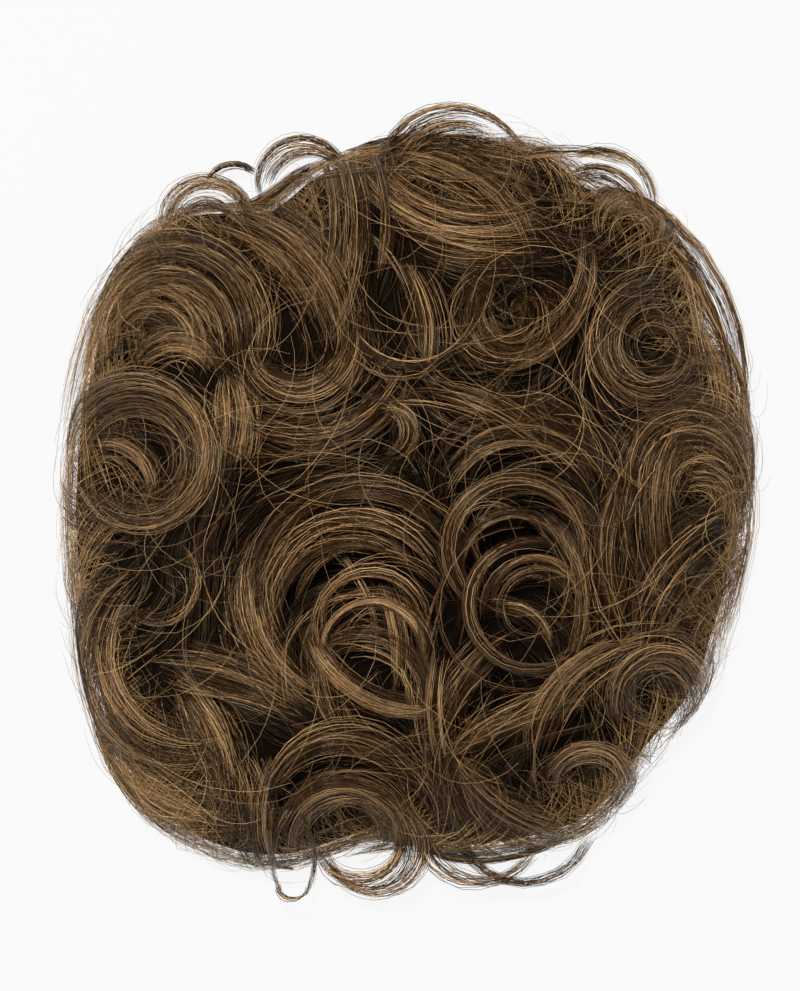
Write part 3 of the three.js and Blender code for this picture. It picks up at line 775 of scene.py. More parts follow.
class FlowField:
    """The way that the hair lies at any place, read from the locks around it."""

    REACH_MM = 7.0
    SAMPLE_MM = 3.0
    FEWEST_SAMPLES = 4
    FIRST_SAMPLE = 0.04
    FAR_WEIGHT = 1e-4
    STEADINESS = 0.5

    def __init__(self, locks: list[Lock]) -> None:
        """Samples every lock along its middle line.

        Args:
            locks: The locks that set the flow.
        """
        places, ways = [], []
        for lock in locks:
            length = abs(math.radians(lock.sweep)) * (lock.r0 + lock.r1) / 2
            t = np.linspace(self.FIRST_SAMPLE, 1, max(self.FEWEST_SAMPLES, int(length / self.SAMPLE_MM)))
            angle, radius = lock.angle(t), lock.radius(t)
            places.append(np.stack([lock.x + radius * np.cos(angle), lock.y + radius * np.sin(angle)], -1))
            ways.append(np.stack([-np.sin(angle), np.cos(angle)], -1) * math.copysign(1, lock.sweep))
        self.places = np.concatenate(places)
        self.ways = np.concatenate(ways)

    def way(self, points: np.ndarray) -> np.ndarray:
        """Gives the direction of the hair at places.

        Args:
            points: Places by 2, in millimetres.

        Returns:
            A unit direction for each.
        """
        apart = ((points[:, None, :] - self.places[None, :, :]) ** 2).sum(-1)
        weight = np.exp(-apart / (2 * self.REACH_MM**2)) + self.FAR_WEIGHT / (1 + apart)
        return unit(weight @ self.ways)

    def follow(self, points: np.ndarray, lengths: np.ndarray, steps: int) -> np.ndarray:
        """Walks along the flow.

        Args:
            points: Where the walks begin, places by 2.
            lengths: How far each goes, in millimetres.
            steps: How many points each has.

        Returns:
            Walks by steps by 2.
        """
        walk, ahead = [points], self.way(points)
        for _ in range(steps - 1):
            ahead = unit(self.STEADINESS * ahead + (1 - self.STEADINESS) * self.way(walk[-1]))
            walk.append(walk[-1] + ahead * lengths[:, None] / (steps - 1))
        return np.stack(walk, 1)


@dataclass
class Hairdresser:
    """Lays strands along locks and along the flow between them, on the envelope.

    Lengths are millimetres. A place across a lock is a share of its half width, and a place along it a share
    of its length.
    """

    envelope: Envelope
    flow: FlowField
    seed: int = 20
    # How deep roots and tips dive, over which share of the length, and the lowest that hair lies
    root_tuck: float = 9.0
    root_share: float = 0.35
    tip_tuck: float = 5.0
    tip_share: float = 0.3
    floor: float = 0.6
    floor_spread: float = 3.0
    # The section of a lock, against the widths in its table
    fullness: float = 1.15
    flatness: float = 0.55
    least_height: float = 1.2
    roundness: float = 0.6
    round_limits: tuple[float, float] = (-1.3, 1.3)
    end_width: float = 0.5
    least_radius: float = 0.45
    # Points along a lock, by its sweep
    step_degrees: float = 15.0
    step_limits: tuple[int, int] = (6, 17)
    # Clumps: how many, how close their strands lie, and how these drift across the lock
    clumps_per_mm: float = 2.2
    fewest_clumps: int = 3
    clump_mm: float = 0.2
    clump_rise: float = 0.2
    clump_drift: float = 0.35
    strand_drift: float = 0.12
    drift_middle: float = 0.35
    across_limits: tuple[float, float] = (-2.0, 1.5)
    wave: float = 0.06
    wave_turn: float = 8.0
    # Strands that leave their clump
    escape: float = 0.22
    escape_spread: float = 0.9
    # Most strands are dark and a few, at random, much lighter; painted light and shade make strands high in
    # a lock lighter and low ones darker, and strands out of the clumps lighter
    dark_bias: float = 0.43
    clump_tone: float = 0.2
    shine: float = 0.27
    painted_crest_shading: float = 0.18
    escape_painted_highlight: float = 0.12
    girths: tuple[float, float] = (0.6, 1.25)
    # Ends: the wider a lock, the later its strands begin and the earlier they stop
    thin_lock: float = 1.0
    wide_lock: float = 5.0
    least_ragged: float = 0.2
    root_overrun: float = 0.04
    tip_overrun: float = 0.1
    late_root: float = 0.24
    early_tip: float = 0.44
    # How far apart the centres lie that clumps and strands turn about
    least_slack: float = 0.2
    most_slack: float = 1.3
    slack_by_width: float = 0.15
    strand_slack: float = 0.5
    # Where strands that run out past the edge are cut
    trim_share: float = 0.99
    trim_spread: float = 0.015
    # How far along gathered strands lie closest
    part_from: float = 0.3

    def __post_init__(self) -> None:
        """Starts the one source of random numbers."""
        self.draw = np.random.default_rng(self.seed)

    def settle(self, x: np.ndarray, y: np.ndarray, level: np.ndarray, stray: float) -> np.ndarray:
        """Draws plan places that reach past the outline back towards it, and gives every place its height.

        Args:
            x: Strands by points.
            y: Strands by points.
            level: Heights over the envelope, strands by points.
            stray: How much of a reach past the outline is kept.

        Returns:
            Strands by points by 3.
        """
        share = self.envelope.share(x, y)
        inside = np.where(share > 1, (1 + (share - 1) * stray) / np.maximum(share, 1), 1)
        z = self.envelope.height(share * inside) + level
        lowest = self.floor + self.draw.uniform(0, self.floor_spread, (len(x), 1))
        return np.stack([x * inside, y * inside, np.maximum(z, lowest)], -1)

    def lay(self, strands: Strands, lock: Lock, count: int, stray: float = 0.25, loose: float = 1.0) -> None:
        """Lays one lock's strands, gathered in clumps that part a little towards their tips.

        Args:
            strands: Where they are added.
            lock: The lock to follow.
            count: How many strands.
            stray: How much of a reach past the outline is kept.
            loose: How far clumps and strands drift, 1 for a tidy lock.
        """
        draw = self.draw
        steps = int(np.clip(abs(lock.sweep) / self.step_degrees, *self.step_limits)) + 1
        width = self.fullness * lock.width
        clumps = max(self.fewest_clumps, round(self.clumps_per_mm * width))
        member = draw.integers(0, clumps, count)
        across = draw.uniform(-1, 1, clumps)[member]
        across = across + draw.normal(0, 2 * self.clump_mm * loose / width, count)
        escaped = draw.random(count) < self.escape
        across += np.where(escaped, draw.normal(0, self.escape_spread, count), 0)
        upward = draw.uniform(-1, 1, clumps)[member] + draw.normal(0, self.clump_rise * loose, count)
        drift = draw.normal(0, self.clump_drift * loose, clumps)[member]
        drift = drift + draw.normal(0, self.strand_drift * loose, count)
        tone = lock.tone - self.dark_bias + draw.normal(0, self.clump_tone, clumps)[member]
        tone = tone + draw.gamma(1, self.shine, count)
        # Painted light and shade: higher strands lighter, lower ones darker, and escaped strands lighter
        tone += self.painted_crest_shading * upward + self.escape_painted_highlight * escaped
        ragged = min(1.0, max(self.least_ragged, (lock.width - self.thin_lock) / self.wide_lock))
        begin = draw.uniform(-self.root_overrun, self.late_root * ragged, count)
        last = 1 + self.tip_overrun
        finish = draw.uniform(last - self.early_tip * ragged, last, count)
        t = begin[:, None] + (finish - begin)[:, None] * along(steps)
        narrowing = self.end_width + (1 - self.end_width) * np.sqrt(np.sin(np.pi * np.clip(t, 0, 1)))
        half_width = self.fullness * lock.half_width(t) * narrowing
        wave = np.sin(self.wave_turn * t + draw.uniform(0, 2 * np.pi, (count, 1)))
        place = np.clip(across, *self.across_limits)[:, None] + drift[:, None] * (t - self.drift_middle)
        place = place + self.wave * loose * wave
        slack = loose * min(self.most_slack, self.least_slack + self.slack_by_width * lock.width)
        shift = draw.normal(0, slack, (clumps, 2))[member]
        shift = shift + draw.normal(0, self.strand_slack * slack, (count, 2))
        middle, angle = lock.radius(t), lock.angle(t)
        radius = np.maximum(middle + place * half_width, self.least_radius * middle)
        half_height = np.maximum(self.least_height, half_width * self.flatness)
        bulge = upward[:, None] - 1 - self.roundness * np.clip(place, *self.round_limits) ** 2
        level = lock.lift + half_height * bulge - tucked(t, self.root_tuck, self.root_share)
        level = level - tucked(1 - t, self.tip_tuck, self.tip_share)
        x = lock.x + shift[:, :1] + radius * np.cos(angle)
        y = lock.y + shift[:, 1:] + radius * np.sin(angle)
        points = self.settle(x, y, level, stray)
        strands.add(points, draw.uniform(*self.girths, count), tone)

    def trimmed(self, plan: np.ndarray) -> tuple[np.ndarray, np.ndarray]:
        """Shortens strands that run out past the hair's edge, so that they end there.

        Args:
            plan: Strands by points by 2.

        Returns:
            The plan places to the right and to the front.
        """
        count, steps = plan.shape[:2]
        edge = self.draw.normal(self.trim_share, self.trim_spread, (count, 1))
        past = self.envelope.share(plan[..., 0], plan[..., 1]) > edge
        last = np.where(past.any(1), np.maximum(past.argmax(1), 1), steps - 1)
        wanted = along(steps) * last[:, None]
        before = np.minimum(wanted.astype(int), steps - 2)
        part = (wanted - before)[..., None]
        row = np.arange(count)[:, None]
        plan = plan[row, before] * (1 - part) + plan[row, before + 1] * part
        return plan[..., 0], plan[..., 1]

    def wander(self, begin: np.ndarray, turn: float, radii: tuple[float, float],
               lengths: tuple[float, float], steps: int) -> np.ndarray:
        """Lays single arcs that set off across the flow.

        Args:
            begin: Where they start, places by 2.
            turn: How far they set off from the flow, in radians, as a spread.
            radii: The least and the most that they bend to, in millimetres.
            lengths: The least and the most that they run, in millimetres.
            steps: How many points each has.

        Returns:
            Strands by points by 2.
        """
        draw, count = self.draw, len(begin)
        way = self.flow.way(begin)
        heading = np.arctan2(way[:, 1], way[:, 0]) + draw.normal(0, turn, count)
        length = draw.uniform(*lengths, count)
        bend = draw.choice([-1, 1], count) * length / draw.uniform(*radii, count)
        angle = heading[:, None] + bend[:, None] * along(steps)
        walk = np.cumsum(np.stack([np.cos(angle), np.sin(angle)], -1), 1)
        return begin[:, None, :] + walk * length[:, None, None] / (steps - 1)

    def gather(self, walk: np.ndarray, per_clump: int, close: float,
               part: float) -> tuple[np.ndarray, np.ndarray]:
        """Lays strands beside the middle lines of clumps.

        Args:
            walk: Clumps by points by 2.
            per_clump: How many strands each has.
            close: How far strands lie from their middle line, in millimetres, as a spread.
            part: How much further they part by the tip.

        Returns:
            Strands by points by 2, and the clump of each strand.
        """
        clumps, steps = walk.shape[:2]
        member = np.repeat(np.arange(clumps), per_clump)
        ahead = unit(np.gradient(walk, axis=1))
        side = np.stack([-ahead[..., 1], ahead[..., 0]], -1)
        later = along(steps) - self.part_from
        near, apart = (self.draw.normal(0, size, (len(member), 1)) for size in (close, part))
        return walk[member] + side[member] * (near + apart * later)[..., None], member

    def spread(self, count: int, reach: float) -> np.ndarray:
        """Spreads places evenly over the hair's plan.

        Args:
            count: How many.
            reach: How near to the outline they come, as a share of the way.

        Returns:
            Places by 2.
        """
        index = np.arange(count)
        return self.envelope.plan(GOLDEN_TURN * index, reach * np.sqrt((index + 0.5) / count))


@dataclass
class HairSection:
    """One section of curls, which stands for its CAD node."""

    section: Section
    # Painted light and shade: an offset added to every lock's tone in the section, darker below 0 and
    # lighter above 0
    tone: float = 0.0
    strands_per_mm: float = 38.0
    fewest: int = 40
    most: int = 250
    thickness_mm: float = 0.17
    tip_share: float = 0.45
    frizz_mm: float = 1.2
    frizz_pitch_mm: float = 9.0
    frizz_seed: float = 1.0

    def build(self, dresser: Hairdresser, sweep: StrandSweep, finish: bpy.types.Material,
              origin: Vector) -> bpy.types.Object:
        """Lays and sweeps the section's strands.

        Args:
            dresser: Lays the strands.
            sweep: Makes them solid.
            finish: Their material.
            origin: Where the middle of the base lies in the row frame.

        Returns:
            The piece.
        """
        strands = Strands()
        for lock in LOCKS[self.section]:
            wanted = self.strands_per_mm * lock.width / 2
            toned = replace(lock, tone=lock.tone + self.tone)
            dresser.lay(strands, toned, int(np.clip(wanted, self.fewest, self.most)))
        guides = strands.guides(self.section.value.replace("hair", "strands"), origin)
        piece = sweep.piece(
            guides, finish, thickness=self.thickness_mm * MM, tip_share=self.tip_share,
            frizz=self.frizz_mm * MM, frizz_pitch=self.frizz_pitch_mm * MM, seed=self.frizz_seed,
        )
        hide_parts(self.section.value)
        return piece


@dataclass
class HairBed:
    """The mass of hair under the curls, painted near-black as the shade between them: a dome that closes
    under the hem and over the base.
    """

    depth: float = 13.0
    hem_share: float = 0.968
    foot_share: float = 0.94
    foot_height: float = 2.4
    inner_share: float = 0.7
    inner_height: float = 35.0
    rings: int = 22
    facets: int = 96

    def build(self, envelope: Envelope, finish: bpy.types.Material, origin: Vector) -> bpy.types.Object:
        """Revolves the bed's profile about the middle.

        Args:
            envelope: The dome that it follows.
            finish: Its material.
            origin: Where the middle of the base lies in the row frame.

        Returns:
            The piece.
        """
        turn = np.sin(np.linspace(0, np.pi / 2, self.rings))
        outer = [(s, float(envelope.height(np.array(s))) - self.depth) for s in turn * self.hem_share]
        inner = [
            (s * self.inner_share, self.inner_height * base_rise(s) + self.foot_height) for s in turn[::-1]
        ]
        profile = [*outer, (self.foot_share, self.foot_height), *inner]
        return envelope.revolved("hair_bed", profile, self.facets, finish, origin)


@dataclass
class NetBase:
    """The net base: a thin oval dome, open below."""

    half_width: float = 72.0
    height: float = 34.0
    wall: float = 1.4
    rings: int = 18
    facets: int = 120

    def build(self, envelope: Envelope, finish: bpy.types.Material, origin: Vector) -> bpy.types.Object:
        """Revolves the wall's profile about the middle.

        Args:
            envelope: Gives the outline.
            finish: The net.
            origin: Where the middle of the base lies in the row frame.

        Returns:
            The piece.
        """
        turn = np.sin(np.linspace(0, np.pi / 2, self.rings))
        share, thin = self.half_width / envelope.half_width, self.wall / envelope.half_width
        outer = [(s * share, self.height * base_rise(s)) for s in turn]
        inner = [(s * (share - thin), (self.height - self.wall) * base_rise(s)) for s in turn[::-1]]
        piece = envelope.revolved("net_base", [*outer, *inner], self.facets, finish, origin)
        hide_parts("base_cap")
        return piece


@dataclass
class LooseHair:
    """Strands outside the main curls: what fills between them, the hem's flicks, wisps and flyaways.

    Lengths and heights are millimetres, and a pair is the least and the most of a draw, or a mean and a
    spread for tones, feet and the lifts of tendrils.
    """

    dresser: Hairdresser
    steps: int = 8
    tip_share: float = 0.4
    frizz_mm: float = 1.6
    frizz_pitch_mm: float = 10.0
    frizz_seed: float = 7.0
    girths: tuple[float, float] = (0.7, 1.1)
    fine_girths: tuple[float, float] = (0.7, 1.3)
    # Fill and deep strands: where they begin, how far from even, and what they keep past the outline
    inner_reach: float = 0.95
    scatter: float = 1.5
    inner_stray: float = 0.35
    fill_clumps: int = 560
    fill_strands: int = 6
    fill_lengths: tuple[float, float] = (24, 60)
    fill_close: float = 0.9
    fill_part: float = 2.4
    fill_lifts: tuple[float, float] = (-10, -3.5)
    fill_lift_spread: float = 0.8
    fill_root_tuck: float = 5.0
    fill_tip_tuck: float = 3.0
    fill_tuck_share: float = 0.3
    fill_tone: float = -0.04
    fill_painted_shade_by_lift: float = 0.042
    fill_clump_tone: float = 0.12
    fill_shine: float = 0.26
    deep_strands: int = 1000
    deep_lengths: tuple[float, float] = (20, 50)
    deep_lifts: tuple[float, float] = (-11.5, -8)
    deep_painted_shade_tones: tuple[float, float] = (0.05, 0.08)
    under_strands: int = 760
    under_steps: int = 5
    under_lean: float = 0.2
    under_inner: tuple[float, float] = (0.7, 0.8)
    under_outer: tuple[float, float] = (0.9, 0.975)
    under_heights: tuple[float, float] = (0.9, 2.1)
    under_tones: tuple[float, float] = (0.4, 0.15)
    # Tendrils: how far each may shift, turn in degrees and widen from its lock, and its own half widths
    tendrils_laid: int = 177
    tendril_strands: int = 8
    tendril_shift: float = 3.0
    tendril_turn: float = 14.0
    tendril_wider: float = 3.5
    tendril_sweeps: tuple[float, float] = (0.7, 1.05)
    tendril_least_radius: float = 5.0
    tendril_widths: tuple[float, float] = (0.7, 1.0)
    tendril_most_lift: float = 1.0
    tendril_lifts: tuple[float, float] = (-0.8, 1.2)
    tendril_tones: tuple[float, float] = (-0.08, 0.14)
    tendril_stray: float = 0.05
    # Flicks of the skirt: leans in radians, roots and feet as shares of the way to the outline
    skirt_flicks: int = 96
    skirt_strands: int = 20
    flick_lean: float = 0.45
    flick_fan: float = 0.06
    flick_fan_start: float = 0.4
    flick_scatter: float = 0.03
    flick_foot: tuple[float, float] = (0.985, 0.012)
    flick_foot_scatter: float = 0.01
    flick_roots: tuple[float, float] = (0.76, 0.93)
    flick_out: float = 0.6
    flick_tuck: float = 7.0
    flick_tuck_share: float = 0.35
    flick_lifts: tuple[float, float] = (-9, -3)
    flick_fall: float = 1.5
    flick_ends: tuple[float, float] = (0.6, 6)
    # Painted light: the flicks' tones are raised, as they lie in shade down the steep edge
    skirt_painted_light_tones: tuple[float, float] = (0.53, 0.2)
    wisp_strands: int = 20
    wisp_least: float = 0.2
    wisp_stray: float = 0.95
    wisp_loose: float = 1.3
    # Flyaways and rim loops: how far they turn from the flow, in radians, and what they keep past the edge
    flyaways: int = 400
    flyaway_reach: float = 0.94
    flyaway_turn: float = 0.35
    flyaway_radii: tuple[float, float] = (14, 45)
    flyaway_lengths: tuple[float, float] = (22, 60)
    flyaway_lifts: tuple[float, float] = (-3, 1.5)
    flyaway_arch: float = 3.0
    flyaway_sink: float = 1.0
    flyaway_tones: tuple[float, float] = (0.55, 0.25)
    rim_loops: int = 560
    rim_roots: tuple[float, float] = (0.92, 0.985)
    rim_turn: float = 0.8
    rim_radii: tuple[float, float] = (5, 16)
    rim_lengths: tuple[float, float] = (12, 32)
    rim_lifts: tuple[float, float] = (-7, 0)
    rim_tones: tuple[float, float] = (0.5, 0.2)
    fine_stray: float = 0.3

    def __post_init__(self) -> None:
        """Takes over the hairdresser's random numbers and envelope."""
        self.draw = self.dresser.draw
        self.envelope = self.dresser.envelope

    def fill(self) -> Strands:
        """Lays clumps that follow the flow between the curls, a little under them.

        Returns:
            The strands.
        """
        dresser, draw, clumps = self.dresser, self.draw, self.fill_clumps
        begin = dresser.spread(clumps, self.inner_reach) + draw.normal(0, self.scatter, (clumps, 2))
        walk = dresser.flow.follow(begin, draw.uniform(*self.fill_lengths, clumps), self.steps)
        plan, member = dresser.gather(walk, self.fill_strands, self.fill_close, self.fill_part)
        count, t, share = len(member), along(self.steps), self.fill_tuck_share
        lift = draw.uniform(*self.fill_lifts, clumps)[member] + draw.normal(0, self.fill_lift_spread, count)
        level = lift[:, None] - tucked(t, self.fill_root_tuck, share)
        level = level - tucked(1 - t, self.fill_tip_tuck, share)
        # Painted shade: the deeper a fill clump lies, the darker its strands
        tone = self.fill_painted_shade_by_lift * lift + self.fill_tone
        tone = tone + draw.normal(0, self.fill_clump_tone, clumps)[member]
        tone = tone + draw.gamma(1, self.fill_shine, count)
        points = dresser.settle(*dresser.trimmed(plan), level, self.inner_stray)
        return Strands().add(points, draw.uniform(*self.girths, count), tone)

    def tendrils(self) -> Strands:
        """Lays thin loose curls beside and across the main ones.

        Returns:
            The strands.
        """
        strands, draw, least = Strands(), self.draw, self.tendril_least_radius
        locks = [lock for locks in LOCKS.values() for lock in locks]
        for index in range(self.tendrils_laid):
            lock = locks[index % len(locks)]
            wider = draw.normal(0, self.tendril_wider)
            thin = Lock(
                lock.x + draw.normal(0, self.tendril_shift),
                lock.y + draw.normal(0, self.tendril_shift),
                lock.start + draw.normal(0, self.tendril_turn),
                lock.sweep * draw.uniform(*self.tendril_sweeps),
                max(least, lock.r0 + wider),
                max(least, lock.r1 + wider),
                *self.tendril_widths,
                min(lock.lift, self.tendril_most_lift) + draw.normal(*self.tendril_lifts),
                lock.tone + draw.normal(*self.tendril_tones),
            )
            self.dresser.lay(strands, thin, self.tendril_strands, stray=self.tendril_stray)
        return strands

    def deep(self) -> Strands:
        """Lays thick strands close over the bed, so that hollows between curls show hair; their near-black
        tones are painted shade.

        Returns:
            The strands.
        """
        dresser, draw, count = self.dresser, self.draw, self.deep_strands
        begin = dresser.spread(count, self.inner_reach) + draw.normal(0, self.scatter, (count, 2))
        level = draw.uniform(*self.deep_lifts, (count, 1))
        plan = dresser.flow.follow(begin, draw.uniform(*self.deep_lengths, count), self.steps)
        points = dresser.settle(*dresser.trimmed(plan), level, self.inner_stray)
        return Strands().add(points, draw.uniform(*self.girths, count), draw.normal(*self.deep_painted_shade_tones, count))

    def under(self) -> Strands:
        """Lays hair flat under the bed, which shows when the topper is turned over.

        Returns:
            The strands.
        """
        draw, count, t = self.draw, self.under_strands, along(self.under_steps)
        turn = 2 * np.pi * np.arange(count)[:, None] / count
        angle = turn + draw.normal(0, self.under_lean, (count, 1)) * t
        inner = draw.uniform(*self.under_inner, (count, 1))
        outer = draw.uniform(*self.under_outer, (count, 1))
        height = draw.uniform(*self.under_heights, (count, 1))
        points = raised(self.envelope.plan(angle, inner * (1 - t) + outer * t), height)
        girth = draw.uniform(*self.girths, count)
        return Strands().add(points, girth, draw.normal(*self.under_tones, count))

    def skirt(self) -> Strands:
        """Lays short flicks round the hem that reach down to the surface.

        Returns:
            The strands.
        """
        strands, draw, count = Strands(), self.draw, self.skirt_strands
        t = along(self.steps) * np.ones((count, 1))
        for index in range(self.skirt_flicks):
            turn = 2 * np.pi * (index + draw.uniform(0, 1)) / self.skirt_flicks
            lean = draw.normal(0, self.flick_lean) * t
            lean = lean + draw.normal(0, self.flick_fan, (count, 1)) * (self.flick_fan_start + t)
            angle = turn + lean + draw.normal(0, self.flick_scatter, (count, 1))
            foot = draw.normal(*self.flick_foot) + draw.normal(0, self.flick_foot_scatter, (count, 1))
            root = draw.uniform(*self.flick_roots, (count, 1))
            share = root + (foot - root) * np.sin(np.pi / 2 * np.clip(t / self.flick_out, 0, 1))
            tuck = self.flick_tuck * np.clip(1 - t / self.flick_tuck_share, 0, 1)
            crest = self.envelope.height(share) + draw.uniform(*self.flick_lifts, (count, 1)) - tuck
            fall = np.clip(2 * t - 1, 0, 1) ** self.flick_fall
            z = crest + (draw.uniform(*self.flick_ends, (count, 1)) - crest) * fall
            points = raised(self.envelope.plan(angle, share), np.maximum(z, self.dresser.floor))
            strands.add(points, draw.uniform(*self.girths, count), draw.normal(*self.skirt_painted_light_tones, count))
        return strands

    def wisps(self) -> Strands:
        """Lays the wisps that stand out at the edge.

        Returns:
            The strands.
        """
        strands = Strands()
        for wisp in WISPS:
            count = int(self.wisp_strands * (self.wisp_least + wisp.w0 + wisp.w1))
            self.dresser.lay(strands, wisp, count, stray=self.wisp_stray, loose=self.wisp_loose)
        return strands

    def stray(self) -> Strands:
        """Lays the flyaways, single strands that cross the curls.

        Returns:
            The strands.
        """
        dresser, draw, count, steps = self.dresser, self.draw, self.flyaways, self.steps + 2
        begin = dresser.spread(count, self.flyaway_reach)
        plan = dresser.wander(begin, self.flyaway_turn, self.flyaway_radii, self.flyaway_lengths, steps)
        arch = self.flyaway_arch * np.sin(np.pi * along(steps))
        level = draw.uniform(*self.flyaway_lifts, (count, 1)) + arch
        points = dresser.settle(*dresser.trimmed(plan), level - self.flyaway_sink, self.fine_stray)
        girth = draw.uniform(*self.fine_girths, count)
        return Strands().add(points, girth, draw.normal(*self.flyaway_tones, count))

    def rim(self) -> Strands:
        """Lays short loose loops round the edge, a haze that the background shines through.

        Returns:
            The strands.
        """
        dresser, draw, count = self.dresser, self.draw, self.rim_loops
        turn = 2 * np.pi * (np.arange(count) + draw.uniform(0, 1, count)) / count
        begin = self.envelope.plan(turn, draw.uniform(*self.rim_roots, count))
        plan = dresser.wander(begin, self.rim_turn, self.rim_radii, self.rim_lengths, self.steps)
        level = draw.uniform(*self.rim_lifts, (count, 1))
        points = dresser.settle(plan[..., 0], plan[..., 1], level, self.fine_stray)
        girth = draw.uniform(*self.fine_girths, count)
        return Strands().add(points, girth, draw.normal(*self.rim_tones, count))

    def build(self, sweep: StrandSweep, finish: bpy.types.Material, dull: bpy.types.Material,
              pale: bpy.types.Material, origin: Vector) -> list[bpy.types.Object]:
        """Lays and sweeps every loose piece.

        Args:
            sweep: Makes the strands solid.
            finish: The material of the hair between the curls and of the wisps.
            dull: The material of the hair under them.
            pale: The material of the flicks, the flyaways and the rim.
            origin: Where the middle of the base lies in the row frame.

        Returns:
            The pieces.
        """
        made = []
        for name, strands, thickness_mm, coat in (
            ("strands_deep", self.deep(), 0.4, dull),
            ("strands_under", self.under(), 0.5, dull),
            ("strands_fill", self.fill(), 0.2, finish),
            ("strands_tendril", self.tendrils(), 0.17, finish),
            ("strands_skirt", self.skirt(), 0.21, pale),
            ("strands_wisp", self.wisps(), 0.22, finish),
            ("strands_stray", self.stray(), 0.11, pale),
            ("strands_rim", self.rim(), 0.13, pale),
        ):
            piece = sweep.piece(
                strands.guides(name, origin), coat, thickness=thickness_mm * MM, tip_share=self.tip_share,
                frizz=self.frizz_mm * MM, frizz_pitch=self.frizz_pitch_mm * MM, seed=self.frizz_seed,
            )
            made.append(piece)
        return made


@dataclass
class Studio:
    """A camera straight above, soft light and a pale floor, in metres unless a name says otherwise."""

    distance: float = 3.0
    reference_mm: float = 35.0
    sensor_mm: float = 36.0
    world_light: float = 0.11
    floor_size: float = 6.0
    floor_grey: float = 0.03
    floor_glow: float = 0.9

    def camera(self, origin: Vector) -> None:
        """Sets the camera over the photograph's middle, with its frame on the reference height.

        Args:
            origin: Where the middle of the base lies in the row frame.
        """
        data = bpy.data.cameras.new("camera")
        data.sensor_width = self.sensor_mm
        data.lens = self.sensor_mm * self.distance / (max(FRAME_PIXELS) * MM_PER_PIXEL * MM)
        made = put("camera", data)
        right = (FRAME_PIXELS[0] / 2 - MIDDLE_PIXEL[0]) * MM_PER_PIXEL * MM
        front = (MIDDLE_PIXEL[1] - FRAME_PIXELS[1] / 2) * MM_PER_PIXEL * MM
        made.location = origin + Vector((right, front, self.reference_mm * MM + self.distance))
        bpy.context.scene.camera = made

    def lights(self) -> None:
        """Adds a key from the front left, a weaker soft fill, low lights for the sides and a white world."""
        scene = bpy.context.scene
        for name, place, size, power in (
            ("key", (-0.22, 0.36, 1.2), 0.2, 24.0),
            ("fill", (0.5, -0.4, 1.0), 0.8, 5.0),
            ("left_side", (-1.1, 0.1, 0.4), 0.5, 4.5),
            ("right_side", (1.1, 0.1, 0.4), 0.5, 4.5),
            ("back_side", (0.0, -1.1, 0.4), 0.5, 3.0),
        ):
            data = bpy.data.lights.new(name, "AREA")
            data.size = size
            data.energy = power
            made = put(name, data)
            made.location = place
            made.rotation_mode = "QUATERNION"
            made.rotation_quaternion = (-Vector(place)).to_track_quat("-Z", "Y")
        world = bpy.data.worlds.new("studio")
        world.use_nodes = True
        back = world.node_tree.nodes["Background"]
        back.inputs["Color"].default_value = WHITE
        back.inputs["Strength"].default_value = self.world_light
        scene.world = world
        scene.view_settings.view_transform = "Standard"

    def floor(self) -> None:
        """Lays the pale floor, lit from within so that it stays as even as a white sweep."""
        half = self.floor_size / 2
        mesh = bpy.data.meshes.new("floor")
        corner_places = [(-half, -half, 0), (half, -half, 0), (half, half, 0), (-half, half, 0)]
        mesh.from_pydata(corner_places, [], [(0, 1, 2, 3)])
        made, shader = new_material("white_sweep", 1.0)
        shader.inputs["Base Color"].default_value = (self.floor_grey,) * 3 + (1.0,)
        shader.inputs["Specular IOR Level"].default_value = 0.0
        shader.inputs["Emission Color"].default_value = WHITE
        shader.inputs["Emission Strength"].default_value = self.floor_glow
        mesh.materials.append(made)
        floor = put("floor", mesh)


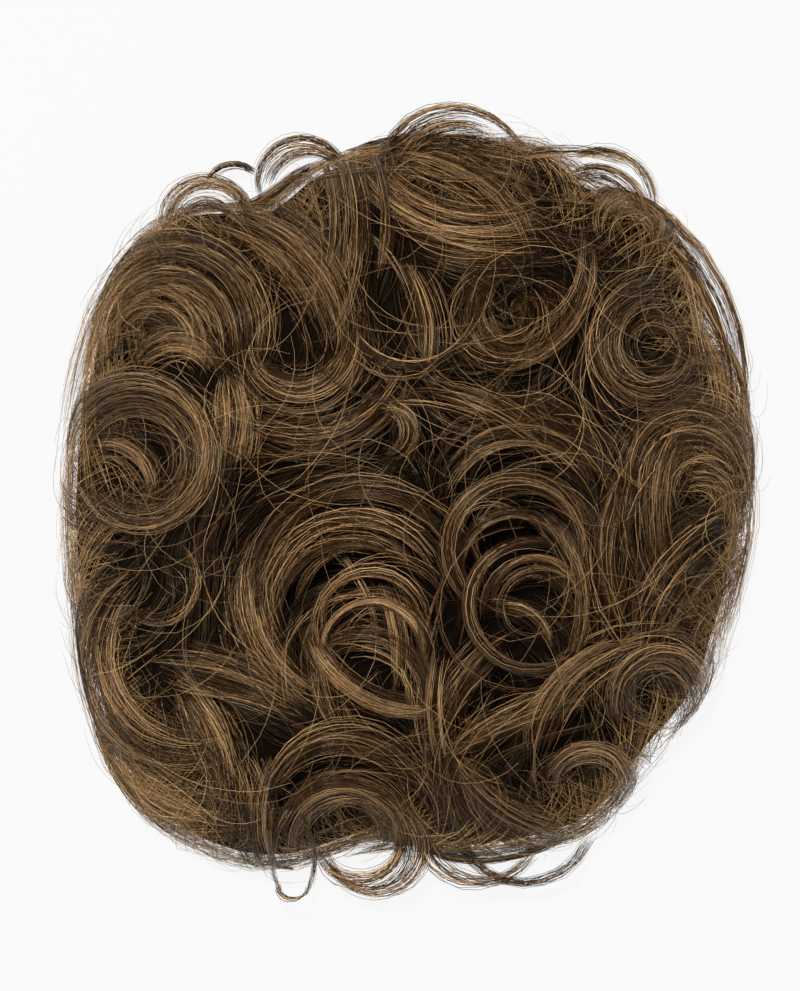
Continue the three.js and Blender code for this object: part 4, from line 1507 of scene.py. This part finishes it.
def main() -> None:
    """Builds the scene in order and reports each piece."""
    logging.basicConfig(level=logging.INFO, format="%(name)s: %(message)s")
    for left in list(bpy.data.objects):
        bpy.data.objects.remove(left)
    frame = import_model()
    low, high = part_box("base_cap")
    origin = Vector(((low.x + high.x) / 2, (low.y + high.y) / 2, 0.0))

    studio = Studio()
    studio.camera(origin)
    studio.lights()
    studio.floor()

    hair = HairFinish("heat_set_hair", "#100904", "#472f18", "#be9d74", roughness=0.3, gloss=0.35)
    dull = HairFinish("brushed_under_hair", "#180e06", "#553c24", "#ac8b62", roughness=0.6, gloss=0.1)
    # A lighter copy of the hair: painted light on the skirt's flicks, which lie in shade at the steep edge,
    # and pale strands for the flyaways and the rim
    pale = HairFinish("fine_stray_hair", "#3e2a16", "#81633d", "#cbaa79", roughness=0.35)
    # Painted shade: the bed's near-black hair stands for the shade between the curls
    shade = HairFinish(
        "shaded_hair", "#050403", "#100c08", "#0a0705", roughness=0.95, gloss=0.05, root_shade=1.0
    )
    hair_look, dull_look, pale_look, shade_look = (finish.material() for finish in (hair, dull, pale, shade))
    envelope = Envelope()
    flow = FlowField([lock for locks in LOCKS.values() for lock in locks])
    dresser = Hairdresser(envelope, flow)
    sweep = StrandSweep()

    pieces = [
        (NetBase().build(envelope, NetFinish().material(), origin), "net"),
        (HairBed().build(envelope, shade_look, origin), "hair"),
    ]
    # Painted shade and light: the crown, which faces the light, and the front are painted darker, and the
    # left side, which faces away from the fill, is painted lighter
    tones = {Section.CROWN: -0.12, Section.FRONT: -0.04, Section.LEFT: 0.04}
    sections = [HairSection(section, tones.get(section, 0.0)) for section in Section]
    pieces += [(section.build(dresser, sweep, hair_look, origin), "hair") for section in sections]
    loose = LooseHair(dresser).build(sweep, hair_look, dull_look, pale_look, origin)
    pieces += [(piece, "hair") for piece in loose]
    lacquer = LacquerFinish().material()
    for name, node in frame["nodes"].items():
        if name.startswith("clip_"):
            for slot in node.material_slots:
                slot.material = lacquer
    for piece, slot in pieces:
        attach(piece, BODY)
        piece.data.calc_loop_triangles()
        LOG.info("%s: %d triangles", piece.name, len(piece.data.loop_triangles))


if __name__ == "__main__":
    main()
